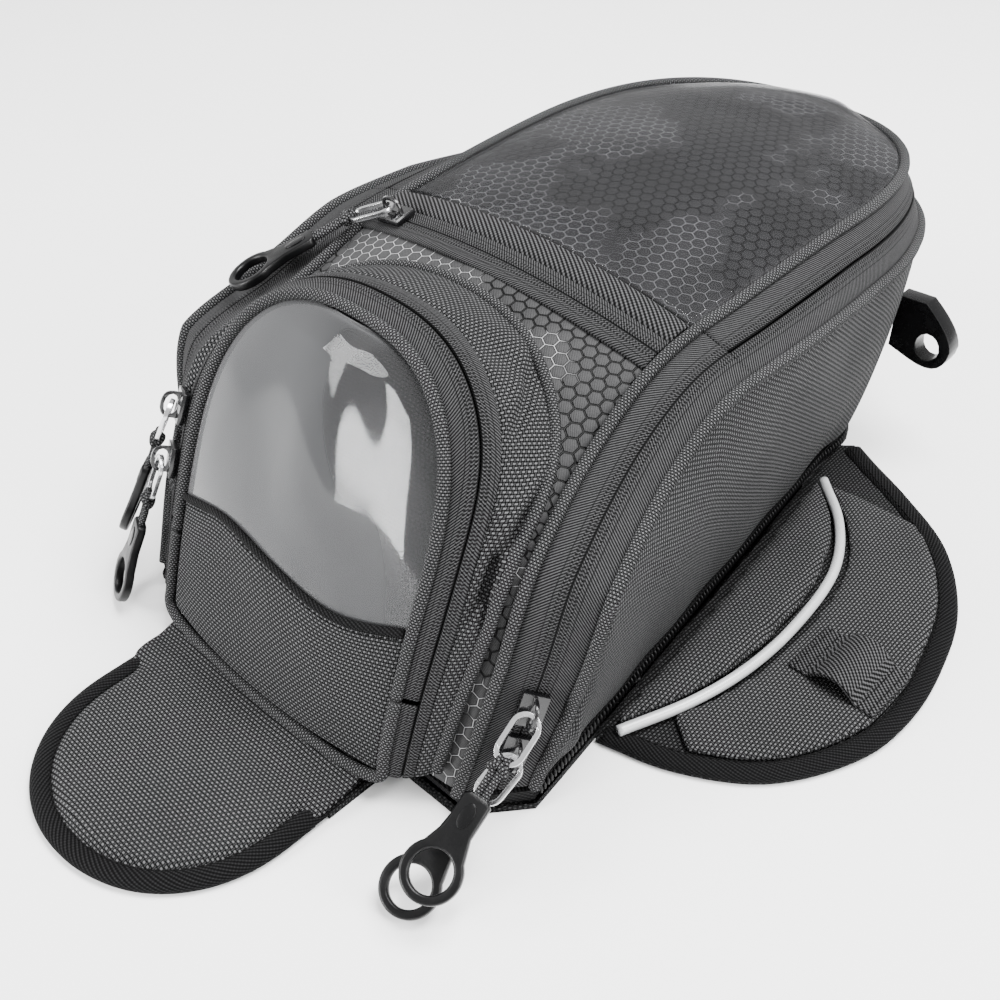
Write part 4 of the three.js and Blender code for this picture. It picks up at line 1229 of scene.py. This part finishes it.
def cover_half(height):
    """Half width of the cover inside its piping at a height."""
    form = {**COVER, "half": COVER["half"] - 1.4, "height": COVER["height"] - 1.4}
    t = steps(400)
    half, level = arch(form, t)
    return np.interp(height, level, half)


def cover_face(x, height, depth=0.0):
    """A point of the cover's bulged face."""
    half = np.maximum(cover_half(height), 1e-3)
    share = np.clip(x / half, -1, 1)
    return cover(x, height, depth - COVER["bulge"] * np.minimum(1, half / 40) * (1 - share ** 2))


class TANKBAG_OT_phone_pocket(TankBagOperator, bpy.types.Operator):
    """Makes the phone pocket: its walls, zip, pipings, clear window and inside"""

    bl_idname = "tank_bag.phone_pocket"
    bl_label = "Phone Pocket"

    inside = (0, -125, 75)
    inside_bag = (0, 0, 20)

    def make(self):
        self.walls()
        self.pipings()
        self.face()

    def walls(self):
        fold = height_share(COVER_FOLD)
        place = both_sides(pocket_wall)
        deep = settings().wrinkle / MM
        tape = finish_named("zip tape")

        def back(a, b):
            return place(0.012 + 1.976 * a, 0.46 + 0.54 * b)

        def creases(a, b, run, span):
            total = -0.9 * (1 - smooth(b, 0, 0.12)) - 0.8 * smooth(b, 0.9, 1)
            middle = np.sin(b * np.pi)
            for at, wide, lean, depth in WALL_CREASES:
                dip = np.exp(-((a - at - lean * b) / wide) ** 2)
                swell = np.exp(-((a - at - 2.2 * wide - lean * b) / wide) ** 2)
                total = total - deep * depth * middle * dip
                total = total + deep * 0.7 * depth * middle * swell
            return total

        piece = shell("pocket_side", back, 220, 24, 1.4, self.inside, creases)
        finish(piece, "bag", finish_named("cloth"), ["pocket_shell"])

        def outer(a, b):
            return place(0.012 + 1.976 * a, 0.295 + 0.175 * b)

        def low_edge(a, b, run, span):
            return zip_profile(span, 0.0) - 0.5 * smooth(b, 0.85, 1)

        piece = shell("pocket_zip_back", outer, 180, 12, 1.2, self.inside, low_edge, centre=0.0)
        finish(piece, "bag", tape, [])

        def inner(low, high):
            return lambda a, b: place(low + (high - low) * a, 0.045 + 0.235 * b)

        def high_edge(a, b, run, span):
            return zip_profile(span, 1.0) - 0.6 * (1 - smooth(b, 0, 0.15))

        gap = 0.007
        for name, low, high, body in (("pocket_zip_foot_right", 0.012, fold - gap, "bag"),
                                      ("pocket_zip_foot_left", 2 - fold + gap, 1.988, "bag"),
                                      ("pocket_zip_cover", fold + gap, 2 - fold - gap, "pocket_cover")):
            columns = 150 if body == "pocket_cover" else 24
            piece = shell(name, inner(low, high), columns, 14, 1.2, self.inside, high_edge, centre=1.0)
            nodes = ["cover_zip_tape"] if body == "pocket_cover" else []
            finish(piece, body, tape, nodes)
        right = [(70, -157), (64.6, -161), (54, -160), (38, -162.6), (0, -164.6)]
        outline = [(-x, y) for x, y in right] + right[-2::-1]
        piece = plate("pocket_floor", outline, COVER["foot_z"] + 3.5, COVER["foot_z"] + 5.5)
        finish(project_cloth(piece), "bag", finish_named("base cloth"))

    def pipings(self):
        cloth = finish_named("piping cloth")
        fold = height_share(COVER_FOLD)
        line = both_sides(pocket_foot)(steps(260, 0.012, 1.988))
        finish(tube("pocket_base_trim", line, PIPING, 12), "bag", cloth, ["pocket_base_piping"])
        split = fold + 0.006
        line = both_sides(rim)(steps(240, split, 2 - split))
        finish(tube("cover_trim", line, PIPING, 12), "pocket_cover", cloth, ["cover_piping"])
        leg = rim(steps(6, fold - 0.006, 0.01))
        foot_z = COVER["foot_z"] - 0.4
        across_foot = [(COVER["half"] - 8, COVER["foot_y"] - 2, foot_z),
                       (0, COVER["foot_y"] - COVER["bulge"] + 2, foot_z),
                       (8 - COVER["half"], COVER["foot_y"] - 2, foot_z)]
        line = even(through(np.vstack([leg, across_foot, mirror_x(leg)[::-1]]), 14), 170)
        finish(tube("pocket_foot_trim", line, PIPING, 12), "bag", cloth, ["pocket_lower_piping"])

    def face(self):
        def cloth_face(a, b):
            height = 2.0 + 0 * a
            for _ in range(3):
                half = cover_half(height)
                x = (2 * b - 1) * half
                height = 2.0 + (hem_height(x) - 2.0) * a
            return cover_face(x, height)

        def soft(a, b, run, span):
            dents = 0.9 * np.sin(b * 9 + a * 3) * np.sin(a * np.pi) * np.sin(b * np.pi)
            return tucked(run, span) + dents - 0.6 * (1 - smooth(a, 0, 0.06))

        piece = shell("pocket_face", cloth_face, 60, 90, 1.8, self.inside, soft)
        piece.data.materials.append(finish_named("cloth"))
        start = cover(0, COVER_FOLD - 7)
        end = cover(0, COVER_FOLD + 7)
        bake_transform(piece)
        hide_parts("pocket_lower_panel", "cover_panel")

        top_height = COVER["height"] - 2.0

        def clear_face(a, b):
            height = 56 + 0 * a
            for _ in range(3):
                x = (2 * b - 1) * cover_half(height) * 0.995
                low = hem_height(x) - 4
                height = low + (top_height - low) * a
            return cover_face(x, height)

        def waves(a, b, run, span):
            middle = np.sin(b * np.pi) * np.sin(np.clip(a * 1.02, 0, 1) * np.pi) ** 0.5
            return (0.8 * np.sin(b * 13 + a * 2) + 0.5 * np.sin(a * 9 + b * 4)) * middle - 0.5

        piece = shell("pocket_window", clear_face, 90, 70, 0.5, self.inside, waves)
        finish(piece, "pocket_cover", finish_named("vinyl"), ["cover_window"])
        x = steps(90, -57.5, 57.5)
        line = cover_face(x, hem_height(x) - 0.6, -0.5)
        out = cover_face(x, hem_height(x), -1) - cover_face(x, hem_height(x))
        hem = tube("window_hem", line, 1.5, 10, 0.55, up=unit(out.mean(axis=0)))
        finish(hem, "pocket_cover", finish_named("binding"))
        rows = [(cover_face(x, hem_height(x) - 3.4, -0.35), unit(out))]
        stitch_rows("hem_stitches", rows, settings().stitch_pitch / MM, (1.9, 0.5, 0.4),
                    finish_named("thread"), "pocket_cover")

        def lining(a, b):
            t = 0.02 + 0.96 * a
            half, height = arch(POCKET_BASE, t)
            half = flared(half, height)
            u = 0.014 + height / EDGE_LENGTH
            return crowned(u, (2 * b - 1) * 0.96 * half / (top(u)[..., 0] - SEAM_INSET), 1.5)

        def folds(a, b, run, span):
            across = 1 - (2 * b - 1) ** 2
            return 0.4 * np.sin(b * 15 + a * 3) * across

        piece = shell("pocket_lining", lining, 60, 50, 0.8, self.inside_bag, folds)
        finish(piece, "bag", finish_named("base cloth"))


def flap_half(y):
    """Half width of the front flap at y."""
    start = FLAP["fold"] - FLAP["shoulder"]
    reach = start - FLAP["tip"]
    share = np.clip((start - np.asarray(y, float)) / reach, 0, 1)
    return FLAP["half"] * (1 - share ** FLAP["power"]) ** (1 / FLAP["power"])


def flap_edge(x, y):
    """Roughly how far a point of the front flap lies inside its edge."""
    start = FLAP["fold"] - FLAP["shoulder"]
    reach = start - FLAP["tip"]
    out = np.clip((start - y) / reach, 0, 1)
    side = np.abs(x) / FLAP["half"]
    power = FLAP["power"]
    slope = power * np.hypot(out ** (power - 1) / reach, side ** (power - 1) / FLAP["half"])
    return (1 - out ** power - side ** power) / np.maximum(slope, 0.01)


def flap_outline(inset, root, count=40):
    """The flap's outline inside its edge, from the right of its root round to the left."""
    half = FLAP["half"] - inset
    start = FLAP["fold"] - FLAP["shoulder"]
    turn = steps(count) * np.pi
    x, y = corner(half, start - FLAP["tip"] - inset, FLAP["power"], turn)
    arc = [(float(np.sign(np.cos(t)) * p), float(start - q)) for t, p, q in zip(turn, x, y)]
    return [(half, root), *arc, (-half, root)]


class TANKBAG_OT_front_flap(TankBagOperator, bpy.types.Operator):
    """Makes the padded front flap with its binding"""

    bl_idname = "tank_bag.front_flap"
    bl_label = "Front Flap"

    def make(self):
        body = "front_flap"
        back = -163.5

        def surface(a, b):
            y = back + (FLAP["tip"] + 3.6 - back) * (1 - (1 - a) ** 1.25)
            x = (2 * b - 1) * (flap_half(y) - 0.3 - 3.2 * smooth(-y, 184, 192))
            near = flap_edge(x, y)
            rise = 5.9 - 3.5 * (1 - smooth(near, 6.0, 13.0)) * smooth(-y, 180, 194)
            climb = 2.7 * smooth(y, -176, -164)
            return vec(x, y, rise + climb)

        def shape(a, b, run, span):
            fold = -0.7 * np.exp(-((a - 0.2) / 0.05) ** 2)
            soft = 0.5 * np.sin(b * 8 + a * 5) + 0.35 * np.sin(a * 11 - b * 4)
            return (fold + soft) * np.sin(b * np.pi) * smooth(1 - a, 0, 0.15)

        piece = shell("flap_cloth", surface, 90, 60, 1.0, (0, -200, -500), shape)
        piece.data.materials.append(finish_named("cloth"))
        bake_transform(piece)
        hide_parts("flap_sheet")
        low = plate("flap_lining", flap_outline(0.9, FLAP["fold"] - 4), 0.1, 1.9)
        finish(project_cloth(low), body, finish_named("base cloth"))
        pad = plate("flap_cushion", flap_outline(12, FLAP["fold"] - 12), 2.0, 4.2)
        pad = inflate(pad, 1.7, settings().pad_pressure, 0.3)
        finish(pad, body, finish_named("cloth"), ["flap_pad"])
        line = np.array([(x, y, 2.3) for x, y in flap_outline(4.1, FLAP["fold"] + 1, 60)])
        edge = tube("flap_binding", even(line, 170), 4.2, 14, 0.46, up=(0, 0, 1))
        finish(edge, body, finish_named("binding"))
        ring = np.array([(x, y, 4.0) for x, y in flap_outline(7.2, FLAP["fold"] - 5, 60)])
        rows = [(even(ring, 160), (0, 0, 1))]
        stitch_rows("flap_stitches", rows, settings().stitch_pitch / MM, (2.0, 0.55, 0.4),
                    finish_named("thread"), body)
        for node in ("flap_magnet", "wing_magnet_right", "wing_magnet_left"):
            frame["nodes"][node].data.materials.clear()
            frame["nodes"][node].data.materials.append(finish_named("magnet"))


def root_line(gap):
    """Gives the point at y on the wing's fold line, moved out by gap."""
    a = np.array(FOOT_CORNER, float)
    b = np.array((FOOT_ARC["half"], FOOT_ARC["start"]), float)
    along = (b - a) / np.linalg.norm(b - a)
    out = np.array((along[1], -along[0]))
    return lambda y: tuple(a + (b - a) * ((y - a[1]) / (b[1] - a[1])) + out * gap)


class TANKBAG_OT_wings(TankBagOperator, bpy.types.Operator):
    """Makes the two padded wings with their pipings, bindings and webbing"""

    bl_idname = "tank_bag.wings"
    bl_label = "Wings"

    def make(self):
        for side, sign in SIDES:
            self.wing(side, sign)

    def wing(self, side, sign):
        body = f"{side}_wing"
        edge = even(through(WING_EDGE, 12), 60)
        roll = even(through(WING_ROLL, 12), 40)
        centre = np.array((112.0, 4.0))

        def turned(points):
            points = [(sign * x, y) for x, y in points]
            return points if sign > 0 else points[::-1]

        def inward(points, inset):
            return points + inset * unit(centre - points)

        root = root_line(2.4)
        outline = [*map(tuple, inward(edge, 0.4)), root(109), root(-96)]
        sheet = plate(f"wing_cloth_{side}", turned(outline), 0.1, 2.4)
        finish(project_cloth(smooth_shade(rounded(sheet, 0.5))), body, finish_named("base cloth"),
               [f"wing_sheet_{side}"])
        inner = [(x + 4.6, y + 1.6) for x, y in roll if y > -76]
        pad_edge = [tuple(p) for p in inward(edge, 7.4) if -80 < p[1] < 84]
        pad = plate(f"wing_cushion_{side}", turned(pad_edge + inner[::-1]), 2.9, 5.7)
        pad = inflate(pad, 1.8, settings().pad_pressure, 0.9)
        finish(pad, body, finish_named("cloth"), [f"wing_pad_{side}"])
        roll_root = root_line(5.5)
        shape = [*[(x - 1.4, y) for x, y in roll], roll_root(74), roll_root(-84)]
        pad = plate(f"wing_bolster_{side}", turned(shape), 2.9, 6.6)
        pad = inflate(pad, 1.9, settings().pad_pressure * 1.5, 2.2)
        finish(pad, body, finish_named("cloth"), [f"wing_roll_{side}"])
        line = np.array([(sign * (x + 1.8), y, 5.6) for x, y in roll])
        piping = tube(f"wing_trim_{side}", even(through(line, 4), 130), 2.1, 14)
        finish(piping, body, finish_named("silver"), [f"wing_piping_{side}"])
        line = np.array([(sign * x, y, 2.3) for x, y in inward(edge, 4.2)])
        binding = tube(f"wing_binding_{side}", even(line, 200), 4.3, 14, 0.46, up=(0, 0, 1))
        finish(binding, body, finish_named("binding"))
        stitched = np.array([(sign * x, y, 4.0) for x, y in inward(edge, 7.4)])
        rows = [(even(stitched, 200), (0, 0, 1))]
        stitch_rows(f"wing_stitches_{side}", rows, settings().stitch_pitch / MM, (2.0, 0.55, 0.4),
                    finish_named("thread"), body)
        loop = smooth_shade(rounded(copy_of(f"wing_loop_{side}", f"wing_webbing_{side}"), 0.45))
        finish(project_cloth(loop), body, finish_named("rib tape"), [f"wing_loop_{side}"])
        low = np.array(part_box(f"wing_loop_{side}")[0]) / MM
        high = np.array(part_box(f"wing_loop_{side}")[1]) / MM
        rows = []
        inner_x, outer_x = sorted((low[0], high[0]), key=abs)
        for x in (inner_x + sign * 2, inner_x + sign * 6, outer_x - sign * 2, outer_x - sign * 6):
            rows.append((np.array([(x, low[1] + 1.5, 8.1), (x, high[1] - 1.5, 8.1)]), (0, 0, 1)))
        stitch_rows(f"webbing_stitches_{side}", rows, 2.4, (1.7, 0.5, 0.4),
                    finish_named("thread"), body)


def lie_of(node, away_from):
    """The frame of a long flat piece: origin, and ways along, beside and out of it, in millimetres."""
    data = frame["nodes"][node].data
    points = np.zeros(len(data.vertices) * 3)
    data.vertices.foreach_get("co", points)
    points = np.unique(np.round(points.reshape(-1, 3) / MM, 3), axis=0)
    middle = points.mean(axis=0)
    _, _, ways = np.linalg.svd(points - middle, full_matrices=False)
    along, beside, out = ways
    if np.dot(middle - away_from, along) < 0:
        along = -along
    if out[2] < 0:
        out = -out
    beside = np.cross(out, along)
    reach = (points - middle) @ along
    return middle + along * reach.min(), middle + along * reach.max(), along, beside, out


class TANKBAG_OT_hardware(TankBagOperator, bpy.types.Operator):
    """Makes the zip sliders, links, finger pulls and strap lugs"""

    bl_idname = "tank_bag.hardware"
    bl_label = "Hardware"

    def make(self):
        joints = {joint["name"]: joint for joint in frame["joints"]}
        for name in ZIPS:
            piece = smooth_shade(rounded(copy_of(f"{name}_slider", f"{name}_zip_slider"), 0.45, 2), 50)
            finish(piece, f"{name}_runner", finish_named("black enamel"), [f"{name}_slider"])
            piece = smooth_shade(rounded(copy_of(f"{name}_link", f"{name}_ring"), 0.42, 3), 60)
            finish(piece, f"{name}_finger_pull", finish_named("nickel"), [f"{name}_link"])
            eye = np.array(joints[f"{name}_pull_swing"]["pos_m"]) / MM
            self.pull(name, eye)
        piece = smooth_shade(rounded(copy_of("base_slider", "base_zip_slider"), 0.5, 3), 50)
        finish(piece, "base_runner", finish_named("black enamel"), ["base_slider"])
        for side, _ in SIDES:
            piece = smooth_shade(rounded(copy_of(f"strap_lug_{side}", f"lug_{side}"), 1.3, 3), 50)
            finish(piece, "bag", finish_named("hard plastic"), [f"strap_lug_{side}"])

    def pull(self, name, eye):
        start, end, along, beside, out = lie_of(f"{name}_pull", eye)
        body = f"{name}_finger_pull"
        head = np.linalg.norm(end - start) - PULL["head"]
        turn = np.column_stack([along, beside, out])
        ring = head + PULL["ring"]
        neck = PULL["neck_half"]
        outline = [(head, -3.6), (head + 1.4, -neck), (head + PULL["neck_end"], -neck)]
        angle = np.linspace(-2.32, 2.32, 44)
        outline += [(ring + PULL["ring_out"] * math.cos(t), PULL["ring_out"] * math.sin(t))
                    for t in angle]
        outline += [(head + PULL["neck_end"], neck), (head + 1.4, neck), (head, 3.6)]
        hole = [(ring + PULL["ring_in"] * math.cos(t), PULL["ring_in"] * math.sin(t))
                for t in np.linspace(0, 2 * np.pi, 41)[:-1]]
        mould = plate(f"{name}_mould", outline, -PULL["half_thick"], PULL["half_thick"], [hole])
        mould = smooth_shade(rounded(mould, 0.95, 4, 50), 60)
        self.set_down(mould, turn, start)
        finish(mould, body, finish_named("rubber"), [f"{name}_pull"])
        mark = [(head + 7.2 + 4.4 * math.cos(t), 2.3 * math.sin(t))
                for t in np.linspace(0, 2 * np.pi, 25)[:-1]]
        badge = rounded(plate(f"{name}_badge", mark, 1.5, 2.15), 0.25, 2)
        self.set_down(smooth_shade(badge, 50), turn, start)
        finish(badge, body, finish_named("hard plastic"))
        rows = []
        for shift in (-1.35, 1.35):
            line = [(-3.6, shift * 0.5, 0.9), (-1.2, shift * 1.1, 1.0), (1.5, shift, 0.4),
                    (head * 0.5, shift * 0.95, 0.0), (head + 1.5, shift, 0.0)]
            rows.append(even(through(line, 10), 34) @ turn.T + start)
        for number, line in enumerate(rows):
            cord = tube(f"{name}_strand_{number + 1}", line, 1.25, 10)
            finish(cord, body, finish_named("piping cloth"))
        angle = np.linspace(0, 2 * np.pi, 33)[:-1]
        knot = np.stack([0.6 + 0.9 * np.cos(angle * 2), 3.1 * np.cos(angle),
                         1.75 * np.sin(angle) + 0.3], axis=1)
        piece = tube(f"{name}_knot", knot @ turn.T + start, 1.15, 10, ring=True)
        finish(piece, body, finish_named("piping cloth"))

    def set_down(self, piece, turn, start):
        """Carries a piece from its own flat frame to its place on the bag."""
        full = Matrix(np.vstack([np.column_stack([turn, start * MM]), [0, 0, 0, 1]]).tolist())
        piece.data.transform(full)
        piece.data.update()


class TANKBAG_OT_base_zip(TankBagOperator, bpy.types.Operator):
    """Makes the teeth of the zip that joins the bag to its base"""

    bl_idname = "tank_bag.base_zip"
    bl_label = "Base Zip Teeth"

    def make(self):
        rows = []
        for _, sign in SIDES:
            flip = side_of(sign)
            line = flip(foot(steps(200, 0.01, 1.0), 5.9))
            way = unit(np.gradient(line, axis=0))
            out = sign * np.stack([way[:, 1], -way[:, 0], 0 * way[:, 0]], axis=1)
            rows.append((line + out * 0.5, out))
        stitch_rows("base_teeth", rows, settings().tooth_pitch / MM, (1.15, 4.6, 2.2),
                    finish_named("teeth"), "bag")


class TANKBAG_OT_stage(TankBagOperator, bpy.types.Operator):
    """Makes the floor, the lights and the camera"""

    bl_idname = "tank_bag.stage"
    bl_label = "Stage"

    def make(self):
        self.floor()
        self.lights()
        self.camera()

    def floor(self):
        half = 4000
        data = bpy.data.meshes.new("floor")
        corners = [(-half * MM, -half * MM, -0.0002), (half * MM, -half * MM, -0.0002),
                   (half * MM, half * MM, -0.0002), (-half * MM, half * MM, -0.0002)]
        data.from_pydata(corners, [], [(0, 1, 2, 3)])
        floor = new_object("floor", data)
        paint = Paint("floor")
        grain = paint.noise(6.0, 2.0)
        colour = paint.shade((0.86, 0.86, 0.86), (0.9, 0.9, 0.9), grain)
        data.materials.append(paint.surface(colour=colour, roughness=0.9, specular=0.1))

    def light(self, name, place, target, size, power, tint=(1, 1, 1)):
        data = bpy.data.lights.new(name, "AREA")
        data.shape = "RECTANGLE"
        data.size, data.size_y = size
        data.energy = power
        data.color = tint
        lamp = new_object(name, data)
        lamp.location = place
        aim = Vector(target) - Vector(place)
        lamp.rotation_euler = aim.to_track_quat("-Z", "Y").to_euler()

    def lights(self):
        world = bpy.data.worlds.new("studio")
        bpy.context.scene.world = world
        world.use_nodes = True
        world.node_tree.nodes["Background"].inputs[0].default_value = (1, 1, 1, 1)
        world.node_tree.nodes["Background"].inputs[1].default_value = 1.1
        self.light("overhead", (0.25, 0.3, 1.3), (0, 0, 0.05), (0.8, 0.8), 62)
        self.light("left", (-0.75, -1.05, 0.75), (0, -0.1, 0.06), (0.5, 0.6), 22)
        self.light("front strip", (-0.4, -1.35, 0.3), (0, -0.15, 0.06), (0.24, 0.8), 30)
        self.light("right", (1.2, 0.2, 0.6), (0, -0.02, 0.06), (0.4, 0.9), 22)

    def camera(self):
        s = settings()
        target = Vector((-0.0059, -0.0369, 0.0164))
        away = 0.5455
        data = bpy.data.cameras.new("camera")
        data.lens = 47.39
        data.sensor_width = 36
        data.clip_start = 0.01
        camera = new_object("camera", data)
        toward = Vector((math.sin(s.azimuth) * math.cos(s.elevation),
                         -math.cos(s.azimuth) * math.cos(s.elevation), math.sin(s.elevation)))
        camera.location = target + toward * away
        camera.rotation_euler = (-toward).to_track_quat("-Z", "Y").to_euler()
        bpy.context.scene.camera = camera


class TANKBAG_PT_panel(bpy.types.Panel):
    """Lists the bag's makers and what a user may change"""

    bl_idname = "TANKBAG_PT_panel"
    bl_label = "Tank Bag"
    bl_space_type = "VIEW_3D"
    bl_region_type = "UI"
    bl_category = "Tank Bag"

    def draw(self, context):
        layout = self.layout
        for name in TankBagSettings.__annotations__:
            layout.prop(context.scene.tank_bag, name)
        for maker in MAKERS:
            layout.operator(maker.bl_idname)


MAKERS = (TANKBAG_OT_stage, TANKBAG_OT_walls, TANKBAG_OT_zip_band, TANKBAG_OT_top,
          TANKBAG_OT_phone_pocket, TANKBAG_OT_front_flap, TANKBAG_OT_wings,
          TANKBAG_OT_hardware, TANKBAG_OT_base_zip)


def register():
    for item in (TankBagSettings, *MAKERS, TANKBAG_PT_panel):
        bpy.utils.register_class(item)
    bpy.types.Scene.tank_bag = bpy.props.PointerProperty(type=TankBagSettings)


def unregister():
    del bpy.types.Scene.tank_bag
    for item in reversed((TankBagSettings, *MAKERS, TANKBAG_PT_panel)):
        bpy.utils.unregister_class(item)


def main():
    register()
    for maker in MAKERS:
        group, _, name = maker.bl_idname.partition(".")
        getattr(getattr(bpy.ops, group), name)()


if __name__ == "__main__":
    main()
